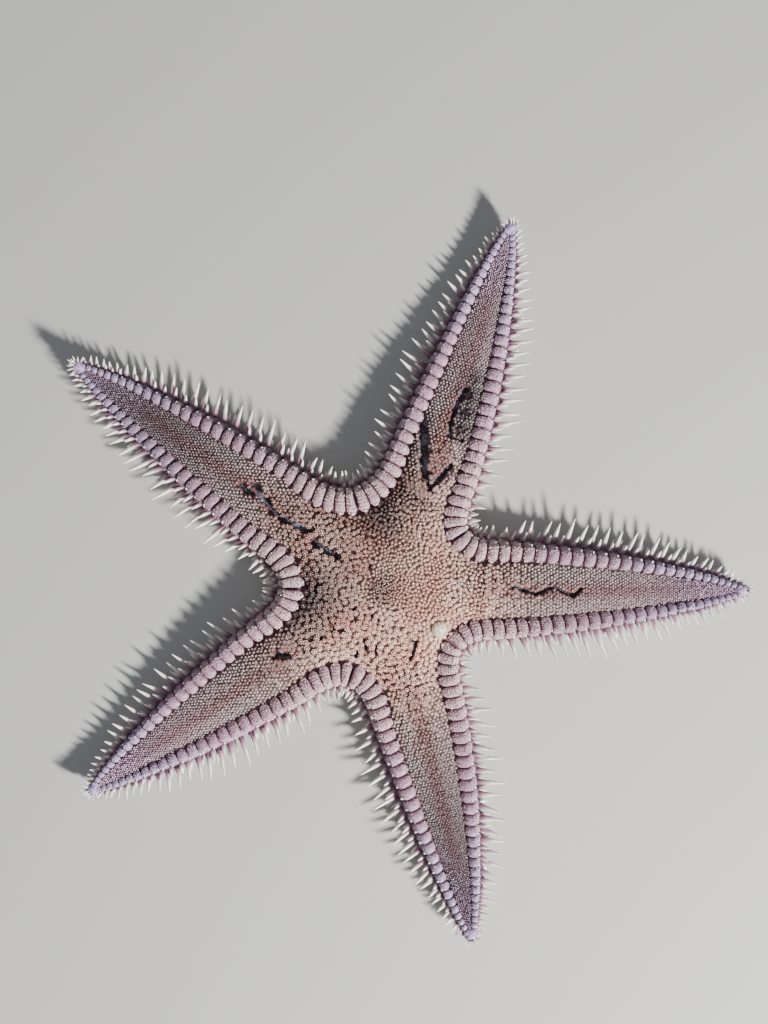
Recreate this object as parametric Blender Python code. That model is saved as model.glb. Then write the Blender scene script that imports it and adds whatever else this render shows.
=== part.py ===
# Spiny sand star, life size, in the pose of the photo, at rest on the floor at z = 0.
# X points right in the photo, Y up in the photo and Z towards its camera.
# Arm 1 points right, and the others follow anticlockwise.
import math
import random
from collections import namedtuple

import bmesh
import bpy
import numpy as np
from mathutils import Vector

# Plan, in metres and degrees
DISC_CENTRE = (-0.0064, -0.0017)
ARM_DIRECTIONS = (-0.2, 70.6, 143.9, 214.6, 284.2)
ARM_LENGTHS = (0.0866, 0.0920, 0.0905, 0.0848, 0.0860)
ARM_HALF_WIDTHS = (0.0130, 0.0127, 0.0126, 0.0130, 0.0128)
ARM_BOWS = (0.0, -0.0015, -0.0005, 0.0, 0.0010)
ARM_TAPER = 0.70
CORNER_LEGS = (0.007, 0.014, 0.010, 0.009, 0.008)

# Heights above the underside, at fractions of an arm's length
HEIGHT_AT = (0.0, 0.14, 0.30, 0.50, 0.70, 0.85, 1.0)
FIELD_HEIGHTS = (0.0118, 0.0110, 0.0100, 0.0080, 0.0059, 0.0041, 0.0026)
CREST_HEIGHTS = (0.0092, 0.0092, 0.0090, 0.0078, 0.0061, 0.0045, 0.0030)
TIP_LIFTS = (0.0030, 0.0030, 0.0042, 0.0028, 0.0030)
LIFT_FROM = 0.72

# Marginal plates: how many stand on each side of an arm, and their pitch and length along it
PLATES = 24
DISC_PLATES = 3
LENGTH_PLATES = 13
PLATED_SHORT = 0.0020
PITCH_AT = (0, 0.1, 0.3, 0.5, 0.7, 0.85, 1)
PITCHES = (0.0022, 0.0024, 0.0029, 0.0030, 0.0027, 0.0021, 0.0012)
PLATE_AT = (0, 0.2, 0.45, 0.7, 0.9, 1)
PLATE_LENGTHS = (0.0052, 0.0050, 0.0046, 0.0033, 0.0020, 0.0012)
CORNER_PLATE_LENGTHS = (0.0062, 0.0071, 0.0067, 0.0065, 0.0057)
PLATE_GAP = 0.0005
PLATE_ROUNDING = 0.00045
FIELD_STEP = 0.0009
FIELD_SWELL = 0.3
PLATE_SINK = 0.0012

# Spines of the fringe
SPINE_AT = (0, 0.08, 0.2, 0.45, 0.7, 0.88, 1)
SPINE_LENGTHS = (0.0040, 0.0047, 0.0064, 0.0074, 0.0058, 0.0036, 0.0022)
CORNER_SPINE_LENGTHS = (0.0034, 0.0048, 0.0043, 0.0040, 0.0037)
SPINE_RISES = (38, 32, 20, 13, 16, 22, 25)
SPINE_LEAN = 0.22
SPINE_ROOT_DEPTH = 0.0008
SPINE_WIDTH = 0.0010
SPINE_THICKNESS = 0.0008
WAISTED_SPINE_LENGTH = 0.0058
SECOND_SPINE_EVERY = 2
SECOND_SPINE_SCALE = 0.62

# Underside: grooves along the arms, the mouth's pocket, the jaws around it and its skin
GROOVE_HALF_WIDTH = 0.0022
GROOVE_DEPTH = 0.0030
MOUTH_POCKET_RADIUS = 0.0036
MOUTH_POCKET_DEPTH = 0.0039
MOUTH_THICKNESS = 0.0007
JAW_TIP_RADIUS = 0.0019
JAW_ROOT_RADIUS = 0.0052
JAW_HALF_WIDTH = 0.0015
JAW_HEIGHTS = (0.0002, 0.0026)

# The plate at each arm's end, along, across and up, and the rings of the disc's dome
TERMINAL_SIZE = (0.0030, 0.0030, 0.0026)
DOME_RINGS = (0.3, 0.6, 0.85)
DOME_POWER = 2.2

# Madreporite, from the disc's centre
MADREPORITE_OFFSET = (0.0130, -0.0090)
MADREPORITE_RADIUS = 0.0016
MADREPORITE_SUNK = 0.0009
MADREPORITE_PROUD = 0.0004

NODE_GAP = 0.0003
SEED = 7

Stop = namedtuple("Stop", "point along inward arm side share t")


def clear_scene():
    for thing in list(bpy.data.objects):
        bpy.data.objects.remove(thing, do_unlink=True)


def heading(arm):
    """The direction of an arm and the direction to its left, in plan."""
    angle = math.radians(ARM_DIRECTIONS[arm])
    out = np.array((math.cos(angle), math.sin(angle)))
    return out, np.array((-out[1], out[0]))


def side_point(arm, side, distance):
    """The margin at this distance along an arm, on its left (side 1) or right (side -1)."""
    out, left = heading(arm)
    t = min(distance / ARM_LENGTHS[arm], 1.0)
    bow = ARM_BOWS[arm] * 4 * t * (1 - t)
    half_width = ARM_HALF_WIDTHS[arm] * (1 - t * t) ** ARM_TAPER
    return np.array(DISC_CENTRE) + out * distance + left * (bow + side * half_width)


def corner_start(arm, side, bisector):
    """How far along an arm its margin meets the line that halves the corner beside it."""
    low = 0.005
    high = ARM_LENGTHS[arm] / 2
    for _ in range(40):
        middle = (low + high) / 2
        x, y = side_point(arm, side, middle) - np.array(DISC_CENTRE)
        past = side * (bisector[0] * y - bisector[1] * x)
        low, high = (middle, high) if past > 0 else (low, middle)
    return low


def corner_of(arm, side):
    """The arms at the right and left of the corner on this side of an arm."""
    return (arm, (arm + 1) % 5) if side > 0 else ((arm - 1) % 5, arm)


def margin(arm, side):
    """The margin from the middle of the corner out to the tip, and the distance run at each point."""
    right, left = corner_of(arm, side)
    turn = (ARM_DIRECTIONS[left] - ARM_DIRECTIONS[right]) % 360
    angle = math.radians(ARM_DIRECTIONS[right] + turn / 2)
    bisector = (math.cos(angle), math.sin(angle))
    starts = corner_start(right, 1, bisector), corner_start(left, -1, bisector)
    leg = CORNER_LEGS[right]
    meeting = (side_point(right, 1, starts[0]) + side_point(left, -1, starts[1])) / 2
    ends = side_point(right, 1, starts[0] + leg), side_point(left, -1, starts[1] + leg)
    near, far = (ends[0], ends[1]) if side > 0 else (ends[1], ends[0])
    start = (starts[0] if side > 0 else starts[1]) + leg
    v = np.linspace(0.5, 1, 20)[:-1, None]
    bend = (1 - v) ** 2 * far + 2 * v * (1 - v) * meeting + v**2 * near
    reach = ARM_LENGTHS[arm] - start
    steps = ARM_LENGTHS[arm] - reach * (1 - np.linspace(0, 1, 160)) ** 1.6
    straight = [side_point(arm, side, distance) for distance in steps]
    points = np.vstack((bend, straight))
    run = np.concatenate(([0], np.cumsum(np.hypot(*np.diff(points, axis=0).T))))
    return points, run


def plate_ends(count):
    """Where the plates of one side begin and end, as shares of its plated length."""
    fine = np.linspace(0, 1, 2001)
    density = 1 / np.interp(fine, PITCH_AT, PITCHES)
    passed = np.concatenate(([0], np.cumsum((density[1:] + density[:-1]) / 2)))
    return np.interp(np.linspace(0, passed[-1], count + 1), passed, fine)


MARGINS = {(arm, side): margin(arm, side) for arm in range(5) for side in (1, -1)}
PLATE_ENDS = plate_ends(PLATES)


def stop(arm, side, share, shift=0.0):
    """A place on the margin at a share of its plated length, moved by shift towards the tip."""
    points, run = MARGINS[arm, side]
    at = share * (run[-1] - PLATED_SHORT) + shift
    near, here, ahead = (
        np.array([np.interp(x, run, points[:, axis]) for axis in (0, 1)])
        for x in (max(at - 0.0003, 0), at, at + 0.0003)
    )
    along = (ahead - near) / np.linalg.norm(ahead - near)
    inward = np.array((along[1], -along[0])) * side
    t = float(np.dot(here - np.array(DISC_CENTRE), heading(arm)[0])) / ARM_LENGTHS[arm]
    return Stop(here, along, inward, arm, side, share, min(t, 1.0))


def plate_length(place):
    """How far a plate reaches inwards from the margin."""
    corner = CORNER_PLATE_LENGTHS[corner_of(place.arm, place.side)[0]]
    length = np.interp(place.share, PLATE_AT, PLATE_LENGTHS)
    fade = max(0.0, 1 - place.share / PLATE_AT[1])
    return float(length + (corner - length) * fade)


def lift(arm, t):
    """How far the underside is off the floor where an arm's tip curls up."""
    return TIP_LIFTS[arm] * (max(0.0, t - LIFT_FROM) / (1 - LIFT_FROM)) ** 2


def crest(t):
    return float(np.interp(t, HEIGHT_AT, CREST_HEIGHTS))


def field(t):
    return float(np.interp(t, HEIGHT_AT, FIELD_HEIGHTS))


def slim(place):
    """1 where an arm is broad, less where it is thin near the tip."""
    t = min(place.t, 0.985)
    half_width = ARM_HALF_WIDTHS[place.arm] * (1 - t * t) ** ARM_TAPER
    return min(1.0, half_width / 0.006)


def inside(place, depth, height):
    """A point this far inwards from the margin and this high above the underside."""
    x, y = place.point + place.inward * depth
    return Vector((x, y, height + lift(place.arm, place.t)))


def groove_column(place):
    """Points down the body's side between two plates, from their inner ends to the underside."""
    top = crest(place.t)
    scale = slim(place)
    return [
        inside(place, plate_length(place), top - FIELD_STEP * scale),
        inside(place, 0.0014 * scale, top - PLATE_SINK * scale),
        inside(place, 0.0009 * scale, top * 0.5),
        inside(place, 0.0016 * scale, 0.0),
    ]


def plate_column(place, tuck):
    """Points over a marginal plate: inner foot, brow, crest, shoulder, flank and lower foot."""
    length = plate_length(place)
    scale = slim(place)
    height = crest(place.t)
    return [
        inside(place, length, height - FIELD_STEP * scale),
        inside(place, length - 0.0004 * scale - tuck * 0.6, height - 0.0003 * scale - tuck * 0.5),
        inside(place, length * 0.42, height - tuck),
        inside(place, tuck * 0.8, height * 0.62),
        inside(place, 0.0004 * scale + tuck, height * 0.13),
        inside(place, 0.0017 * scale, 0.0),
    ]


class Edge:
    """One side's edge from plate end first to plate end last: its columns between plates, and the
    feet of each plate on the upper face and on the underside."""

    def __init__(self, mesh, arm, side, first, last, shifts, shared=None):
        self.columns = {}
        self.feet = {}
        for k in range(first, last + 1):
            shift = shifts[0] if k == first else shifts[1] if k == last else 0.0
            points = groove_column(stop(arm, side, PLATE_ENDS[k], shift))
            self.columns[k] = [mesh.verts.new(point) for point in points]
            if k == first and shared:
                bmesh.ops.delete(mesh, geom=self.columns[k], context="VERTS")
                self.columns[k] = shared
        for k in range(first, last):
            self.add_plate(mesh, arm, side, k)

    def add_plate(self, mesh, arm, side, k):
        """Models one plate between two columns, as a loaf with rounded ends."""
        middle = stop(arm, side, (PLATE_ENDS[k] + PLATE_ENDS[k + 1]) / 2)
        tuck = PLATE_ROUNDING * slim(middle)
        near = stop(arm, side, PLATE_ENDS[k], PLATE_GAP / 2)
        far = stop(arm, side, PLATE_ENDS[k + 1], -PLATE_GAP / 2)
        begin = [mesh.verts.new(point) for point in plate_column(near, tuck)]
        end = [mesh.verts.new(point) for point in plate_column(far, tuck)]
        ridge = [mesh.verts.new(point) for point in plate_column(middle, 0.0)[1:5]]
        for groove, rim in ((self.columns[k], begin), (self.columns[k + 1], end)):
            mesh.faces.new((groove[0], groove[1], rim[2], rim[1], rim[0]))
            mesh.faces.new((groove[1], groove[2], rim[3], rim[2]))
            mesh.faces.new((groove[2], groove[3], rim[5], rim[4], rim[3]))
            for a in range(3):
                mesh.faces.new((rim[a + 1], rim[a + 2], ridge[a + 1], ridge[a]))
        mesh.faces.new((begin[0], begin[1], ridge[0], end[1], end[0]))
        mesh.faces.new((begin[5], begin[4], ridge[3], end[4], end[5]))
        self.feet[k] = (begin[0], end[0]), (begin[5], end[5])

    def border(self, begin, end, row):
        """The points along the edge's upper (row 0) or lower (row 1) border."""
        run = [self.columns[begin][-row]]
        for k in range(begin, end):
            run += [*self.feet[k][row], self.columns[k + 1][-row]]
        return run


class Midline:
    """Points across the middle of an arm, between a column of its left edge and one of its right."""

    def __init__(self, mesh, arm, share, left, right, grooved=True):
        middle = (left[0].co + right[0].co) / 2
        t = (stop(arm, 1, share).t + stop(arm, -1, share).t) / 2
        floor = Vector((middle.x, middle.y, lift(arm, t)))
        top = floor + Vector((0, 0, field(t)))
        swell = Vector((0, 0, FIELD_SWELL * (top.z - middle.z)))
        width = (left[3].co - right[3].co).length
        half = min(GROOVE_HALF_WIDTH, 0.3 * width)
        roof = floor + Vector((0, 0, GROOVE_DEPTH * half / GROOVE_HALF_WIDTH))
        brinks = [floor.lerp(foot.co, half / (foot.co - floor).length) for foot in (left[3], right[3])]
        under = [brinks[0], roof, brinks[1]] if grooved else [floor]
        self.top = mesh.verts.new(top)
        self.left_field = mesh.verts.new((top + left[0].co) / 2 + swell)
        self.right_field = mesh.verts.new((top + right[0].co) / 2 + swell)
        self.under = [mesh.verts.new(point) for point in under]
        self.hub = floor.lerp(top, 0.6)

    def cap(self, mesh, left, right):
        """Closes a cut with a fan round its hub, so that the two sides of a cut match."""
        ring = [self.top, self.left_field, *left, *self.under, *right[::-1], self.right_field]
        centre = mesh.verts.new(self.hub)
        for a, point in enumerate(ring):
            mesh.faces.new((point, ring[(a + 1) % len(ring)], centre))


def loft(rings):
    """A closed mesh through rings of as many points each, with flat ends."""
    mesh = bmesh.new()
    rows = [[mesh.verts.new(point) for point in ring] for ring in rings]
    for row, following in zip(rows, rows[1:]):
        for a in range(len(row)):
            b = (a + 1) % len(row)
            mesh.faces.new((row[a], row[b], following[b], following[a]))
    mesh.faces.new(rows[0][::-1])
    mesh.faces.new(rows[-1])
    return mesh


def finished(mesh, name):
    """Makes a closed mesh an object of its own, with its faces outwards."""
    bmesh.ops.recalc_face_normals(mesh, faces=mesh.faces)
    data = bpy.data.meshes.new(name)
    mesh.to_mesh(data)
    mesh.free()
    thing = bpy.data.objects.new(name, data)
    bpy.context.collection.objects.link(thing)
    return thing


def in_triangles(mesh):
    faces = [face for face in mesh.faces if len(face.verts) > 4]
    bmesh.ops.triangulate(mesh, faces=faces)
    return mesh


def arm_body(arm, first, last, step, name):
    """A length of an arm with its plates, cut clear of its neighbours."""
    mesh = bmesh.new()
    shifts = (NODE_GAP / 2, -NODE_GAP / 2 if last < PLATES else 0.0)
    left = Edge(mesh, arm, 1, first, last, shifts)
    right = Edge(mesh, arm, -1, first, last, shifts)
    levels = sorted(set(list(range(first, last, step)) + [last]))
    lines = {k: Midline(mesh, arm, PLATE_ENDS[k], left.columns[k], right.columns[k]) for k in levels}
    for k, following in zip(levels, levels[1:]):
        near = lines[k]
        far = lines[following]
        mesh.faces.new((near.top, near.left_field, far.left_field, far.top))
        mesh.faces.new((near.top, near.right_field, far.right_field, far.top))
        mesh.faces.new([near.left_field, *left.border(k, following, 0), far.left_field])
        mesh.faces.new([near.right_field, *right.border(k, following, 0), far.right_field])
        mesh.faces.new([near.under[0], *left.border(k, following, 1), far.under[0]])
        mesh.faces.new([near.under[2], *right.border(k, following, 1), far.under[2]])
        mesh.faces.new((near.under[0], near.under[1], far.under[1], far.under[0]))
        mesh.faces.new((near.under[1], near.under[2], far.under[2], far.under[1]))
    for k in (first, last):
        lines[k].cap(mesh, left.columns[k], right.columns[k])
    return finished(in_triangles(mesh), name)


def disc_outline(mesh):
    """The disc's border, once round anticlockwise: anchors on its upper rim with the points that
    follow each, the points of its lower rim, and the midline at each arm's cut."""
    shifts = (0.0, -NODE_GAP / 2)
    last = DISC_PLATES
    lefts = [Edge(mesh, arm, 1, 0, last, shifts) for arm in range(5)]
    rights = []
    for arm in range(5):
        corner = lefts[arm - 1].columns[0]
        rights.append(Edge(mesh, arm, -1, 0, last, shifts, corner))
    upper = []
    lower = []
    for arm in range(5):
        left = lefts[arm]
        right = rights[arm]
        following = rights[(arm + 1) % 5]
        line = Midline(mesh, arm, PLATE_ENDS[last], left.columns[last], right.columns[last], False)
        line.cap(mesh, left.columns[last], right.columns[last])
        upper.append((right.columns[last][0], [line.right_field]))
        upper.append((line.top, [line.left_field]))
        for k in range(last, 0, -1):
            upper.append((left.columns[k][0], list(left.feet[k - 1][0][::-1])))
        for k in range(last):
            upper.append((following.columns[k][0], list(following.feet[k][0])))
        lower += [line.under[0], *left.border(0, last, 1)[::-1], *following.border(0, last, 1)[1:]]
    return upper, lower


def disc_body():
    """The disc and its corner plates out to the arms' cuts, with domed top and flat underside."""
    mesh = bmesh.new()
    upper, lower = disc_outline(mesh)
    middle = Vector((*DISC_CENTRE, field(0)))
    summit = mesh.verts.new(middle)
    rings = []
    for anchor, _ in upper:
        points = []
        for f in DOME_RINGS:
            point = middle.lerp(anchor.co, f)
            point.z = anchor.co.z + (middle.z - anchor.co.z) * (1 - f**DOME_POWER)
            points.append(mesh.verts.new(point))
        rings.append(points)
    for a, (anchor, between) in enumerate(upper):
        b = (a + 1) % len(upper)
        mesh.faces.new((summit, rings[a][0], rings[b][0]))
        for k in range(len(DOME_RINGS) - 1):
            mesh.faces.new((rings[a][k], rings[a][k + 1], rings[b][k + 1], rings[b][k]))
        mesh.faces.new([rings[a][-1], anchor, *between, upper[b][0], rings[b][-1]])
    mesh.faces.new(lower[::-1])
    return finished(in_triangles(mesh), "disc")


def spine(root, aim, flat, length, width, thickness):
    """A tapering spine from a root inside its plate to a point."""
    edge = flat.cross(aim).normalized()
    flat = aim.cross(edge).normalized()
    mesh = bmesh.new()
    rows = []
    waists = ((0.0, 1.0), (0.4, 0.85)) if length > WAISTED_SPINE_LENGTH else ((0.0, 1.0),)
    for at, share in waists:
        centre = root + aim * length * at
        reach = edge * width / 2 * share
        rise = flat * thickness / 2 * share
        rows.append([mesh.verts.new(centre + step) for step in (reach, rise, -reach, -rise)])
    point = mesh.verts.new(root + aim * length)
    for a in range(4):
        b = (a + 1) % 4
        if len(rows) > 1:
            mesh.faces.new((rows[0][a], rows[0][b], rows[1][b], rows[1][a]))
        mesh.faces.new((rows[-1][a], rows[-1][b], point))
    mesh.faces.new(rows[0][::-1])
    return finished(mesh, "spine")


def fringe_spine(arm, side, share, level, scale, draw):
    """A spine of the fringe, rooted in its plate at a share of the plate's height."""
    place = stop(arm, side, share)
    long = float(np.interp(share, SPINE_AT, SPINE_LENGTHS))
    fade = max(0.0, 1 - share / SPINE_AT[2])
    corner = CORNER_SPINE_LENGTHS[corner_of(arm, side)[0]]
    length = (long + (corner - long) * fade) * scale * draw.uniform(0.93, 1.07)
    rise = math.radians(float(np.interp(share, SPINE_AT, SPINE_RISES)) + draw.uniform(-4, 4))
    if scale < 1:
        rise += math.radians(16)
    lean = SPINE_LEAN * (1 - fade) + draw.uniform(-0.05, 0.05)
    plan = -place.inward + place.along * lean
    plan = plan / np.linalg.norm(plan)
    aim = Vector((*(plan * math.cos(rise)), math.sin(rise)))
    small = 0.5 + 0.5 * slim(place)
    root = inside(place, SPINE_ROOT_DEPTH * small, crest(place.t) * level)
    return spine(root, aim, Vector((0, 0, 1)), length, SPINE_WIDTH * small, SPINE_THICKNESS * small)


def fringe(arm, side, ks, draw):
    """The spines that one stretch of plates carries."""
    pieces = []
    for k in ks:
        share = (PLATE_ENDS[k] + PLATE_ENDS[k + 1]) / 2
        pieces.append(fringe_spine(arm, side, share, 0.30, 1.0, draw))
        if k % SECOND_SPINE_EVERY:
            nearer = 0.7 * PLATE_ENDS[k] + 0.3 * PLATE_ENDS[k + 1]
            pieces.append(fringe_spine(arm, side, nearer, 0.52, SECOND_SPINE_SCALE, draw))
    return pieces


def terminal_plate(arm):
    """The rounded plate at the end of an arm."""
    out, left = heading(arm)
    place = stop(arm, 1, 1.0)
    distance = ARM_LENGTHS[arm] - TERMINAL_SIZE[0] / 2
    x, y = (side_point(arm, 1, distance) + side_point(arm, -1, distance)) / 2
    mesh = bmesh.new()
    bmesh.ops.create_icosphere(mesh, subdivisions=1, radius=0.5)
    turn = Vector((*out, 0)), Vector((*left, 0)), Vector((0, 0, 1))
    middle = Vector((x, y, lift(arm, place.t) + TERMINAL_SIZE[2] * 0.55))
    for vertex in mesh.verts:
        parts = [axis * size * share for axis, size, share in zip(turn, TERMINAL_SIZE, vertex.co)]
        vertex.co = middle + sum(parts, Vector())
    return finished(mesh, "terminal plate")


def jaw(corner):
    """A jaw between two grooves, pointing into the mouth."""
    following = (corner + 1) % 5
    turn = (ARM_DIRECTIONS[following] - ARM_DIRECTIONS[corner]) % 360
    angle = math.radians(ARM_DIRECTIONS[corner] + turn / 2)
    ahead = Vector((math.cos(angle), math.sin(angle), 0))
    aside = Vector((-ahead.y, ahead.x, 0))
    centre = Vector((*DISC_CENTRE, 0))
    plan = [
        ahead * JAW_TIP_RADIUS,
        ahead * (JAW_TIP_RADIUS + JAW_ROOT_RADIUS) / 2 + aside * JAW_HALF_WIDTH,
        ahead * JAW_ROOT_RADIUS,
        ahead * (JAW_TIP_RADIUS + JAW_ROOT_RADIUS) / 2 - aside * JAW_HALF_WIDTH,
    ]
    rings = [[centre + point + Vector((0, 0, height)) for point in plan] for height in JAW_HEIGHTS]
    return finished(loft(rings), "jaw")


def disc(centre, radius, low, high, segments, name):
    """A round solid that stands on end."""
    mesh = bmesh.new()
    bmesh.ops.create_cone(
        mesh, cap_ends=True, segments=segments, radius1=radius, radius2=radius, depth=high - low
    )
    bmesh.ops.translate(mesh, verts=mesh.verts, vec=Vector((*centre, (low + high) / 2)))
    return finished(mesh, name)


def groove_cutter(arm):
    """A wedge that cuts the groove from the mouth out past the arm's cut."""
    out, left = heading(arm)
    far = stop(arm, 1, PLATE_ENDS[DISC_PLATES + 1])
    length = float(np.dot(far.point - np.array(DISC_CENTRE), out))
    below = 0.0005
    spread = GROOVE_HALF_WIDTH * (1 + below / GROOVE_DEPTH)
    rings = []
    for distance in (MOUTH_POCKET_RADIUS * 0.4, length):
        x, y = (side_point(arm, 1, distance) + side_point(arm, -1, distance)) / 2
        foot = Vector((x, y, -below))
        aside = Vector((*left, 0)) * spread
        rings.append([foot + aside, foot - aside, foot + Vector((0, 0, below + GROOVE_DEPTH))])
    return finished(loft(rings), "groove cutter")


def fuse(body, pieces, operation):
    """Joins pieces to a body or cuts them from it, and keeps the largest closed surface."""
    group = bpy.data.collections.new("pieces")
    bpy.context.scene.collection.children.link(group)
    for piece in pieces:
        for home in list(piece.users_collection):
            home.objects.unlink(piece)
        group.objects.link(piece)
    change = body.modifiers.new("pieces", "BOOLEAN")
    change.operation = operation
    change.operand_type = "COLLECTION"
    change.collection = group
    # EXACT leaves open edges beside the cut of arm 2
    change.solver = "MANIFOLD"
    bpy.context.view_layer.objects.active = body
    bpy.ops.object.modifier_apply(modifier=change.name)
    for piece in list(group.objects):
        bpy.data.objects.remove(piece, do_unlink=True)
    bpy.data.collections.remove(group)
    keep_largest(body)


def keep_largest(body):
    """Drops every closed surface but the largest."""
    mesh = bmesh.new()
    mesh.from_mesh(body.data)
    left = set(mesh.verts)
    shells = []
    while left:
        shell = {left.pop()}
        edge = list(shell)
        while edge:
            linked = {e.other_vert(v) for v in edge for e in v.link_edges}
            edge = list(linked - shell)
            shell |= linked
        left -= shell
        shells.append(shell)
    largest = max(shells, key=len)
    bmesh.ops.delete(mesh, geom=[v for v in mesh.verts if v not in largest], context="VERTS")
    mesh.to_mesh(body.data)
    mesh.free()


def paint(thing, colour, roughness):
    """Gives a node its own material."""
    material = bpy.data.materials.new(thing.name + " skin")
    material.use_nodes = True
    shader = material.node_tree.nodes["Principled BSDF"]
    shader.inputs["Base Color"].default_value = (*colour, 1)
    shader.inputs["Roughness"].default_value = roughness
    shader.inputs["Metallic"].default_value = 0
    thing.data.materials.clear()
    thing.data.materials.append(material)


def make_disc(draw):
    """The disc with its corner plates, grooves, jaws and the two pockets."""
    body = disc_body()
    x, y = np.array(DISC_CENTRE) + MADREPORITE_OFFSET
    found, spot, _, _ = body.ray_cast(Vector((x, y, 1)), Vector((0, 0, -1)))
    floor = spot.z - MADREPORITE_SUNK
    cutters = [groove_cutter(arm) for arm in range(5)]
    cutters.append(disc(DISC_CENTRE, MOUTH_POCKET_RADIUS, -0.0005, MOUTH_POCKET_DEPTH, 20, "mouth cutter"))
    pocket = MADREPORITE_RADIUS + NODE_GAP
    cutters.append(disc((x, y), pocket, floor - NODE_GAP, spot.z + 0.003, 16, "madreporite cutter"))
    for cutter in cutters:
        fuse(body, [cutter], "DIFFERENCE")
    pieces = [jaw(corner) for corner in range(5)]
    for arm in range(5):
        for side in (1, -1):
            pieces += fringe(arm, side, range(DISC_PLATES), draw)
    fuse(body, pieces, "UNION")
    paint(body, (0.42, 0.27, 0.24), 0.75)
    return floor, spot.z


def make_mouth():
    """The skin across the mouth, at the roof of its pocket."""
    high = MOUTH_POCKET_DEPTH - NODE_GAP
    radius = MOUTH_POCKET_RADIUS - NODE_GAP
    paint(disc(DISC_CENTRE, radius, high - MOUTH_THICKNESS, high, 20, "mouth"), (0.35, 0.2, 0.2), 0.6)


def make_madreporite(low, level):
    """The round sieve plate, a low button in its pocket."""
    centre = Vector((*(np.array(DISC_CENTRE) + MADREPORITE_OFFSET), 0))
    rings = []
    for share, height in ((1.0, low), (1.0, level), (0.75, level + MADREPORITE_PROUD)):
        ring = []
        for a in range(16):
            turn = 2 * math.pi * a / 16
            spoke = Vector((math.cos(turn), math.sin(turn), 0)) * MADREPORITE_RADIUS * share
            ring.append(centre + spoke + Vector((0, 0, height)))
        rings.append(ring)
    paint(finished(loft(rings), "madreporite"), (0.66, 0.52, 0.36), 0.7)


def make_arm(arm, draw):
    """An arm in two lengths, each with its plates and spines."""
    name = f"arm_{arm + 1}"
    inner = arm_body(arm, DISC_PLATES, LENGTH_PLATES, 3, name)
    pieces = []
    for side in (1, -1):
        pieces += fringe(arm, side, range(DISC_PLATES, LENGTH_PLATES), draw)
    fuse(inner, pieces, "UNION")
    paint(inner, (0.38, 0.25, 0.29), 0.75)
    outer = arm_body(arm, LENGTH_PLATES, PLATES, 2, name + "_tip")
    pieces = [terminal_plate(arm)]
    for side in (1, -1):
        pieces += fringe(arm, side, range(LENGTH_PLATES, PLATES), draw)
    fuse(outer, pieces, "UNION")
    paint(outer, (0.34, 0.26, 0.38), 0.75)


def main():
    clear_scene()
    draw = random.Random(SEED)
    low, level = make_disc(draw)
    make_mouth()
    make_madreporite(low, level)
    for arm in range(5):
        make_arm(arm, draw)


main()
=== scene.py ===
# %% [markdown]
# This lesson builds a spiny sand star at life size, as a museum model maker would.
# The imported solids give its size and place. They are loaded first, as a fixed frame,
# and each thing made below takes the place of the solids that it covers.

# %% Load the frame
import math

import bmesh
import bpy
import numpy as np
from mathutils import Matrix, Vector, kdtree, noise


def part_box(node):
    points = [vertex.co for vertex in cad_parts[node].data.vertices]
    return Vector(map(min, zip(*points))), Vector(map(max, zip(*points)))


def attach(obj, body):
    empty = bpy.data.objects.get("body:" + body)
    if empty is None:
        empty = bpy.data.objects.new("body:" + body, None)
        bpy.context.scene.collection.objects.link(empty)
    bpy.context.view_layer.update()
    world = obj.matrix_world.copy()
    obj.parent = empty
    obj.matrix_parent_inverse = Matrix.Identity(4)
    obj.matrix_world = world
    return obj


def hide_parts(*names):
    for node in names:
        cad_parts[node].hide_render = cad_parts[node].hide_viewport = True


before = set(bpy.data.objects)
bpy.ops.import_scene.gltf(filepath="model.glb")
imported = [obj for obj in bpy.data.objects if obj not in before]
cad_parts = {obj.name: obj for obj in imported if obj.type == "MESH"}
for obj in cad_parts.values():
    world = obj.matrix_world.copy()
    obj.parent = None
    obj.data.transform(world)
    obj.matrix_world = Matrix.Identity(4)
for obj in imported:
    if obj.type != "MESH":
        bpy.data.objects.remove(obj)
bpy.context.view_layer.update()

# %% [markdown]
# The star lies on its underside with its arms spread, and is seen from straight above.
# A camera at arm's length with a lens to match gives the mild perspective of a hand-held
# picture. The star sits low in the frame, so the camera looks a little above its centre.

# %% Camera
MM = 0.001
low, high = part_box("mouth")
CENTRE = np.array([(low.x + high.x) / 2, (low.y + high.y) / 2])
FRAME_LONG_SIDE = 242 * MM
FRAME_OFFSET = (0.2 * MM, 18.2 * MM)
SHARP_HEIGHT = 5 * MM
CAMERA_DISTANCE = 300 * MM


def in_scene(name, data):
    thing = bpy.data.objects.new(name, data)
    bpy.context.scene.collection.objects.link(thing)
    return thing


camera = in_scene("camera", bpy.data.cameras.new("camera"))
camera.location = (*(CENTRE + FRAME_OFFSET), SHARP_HEIGHT + CAMERA_DISTANCE)
camera.data.angle = 2 * math.atan(FRAME_LONG_SIDE / 2 / CAMERA_DISTANCE)
camera.data.clip_start = 0.01
bpy.context.scene.camera = camera
print("camera looks down from", round(camera.location.z, 3), "m with a lens of",
      round(camera.data.lens, 1), "mm")

# %% [markdown]
# The plan is drawn from a few sizes: each arm's direction, length, half width and bow, and the
# roundness of the corners. A margin runs from the middle of a corner out to a tip, so there
# are ten of them. Everything is placed from these curves.

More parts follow.
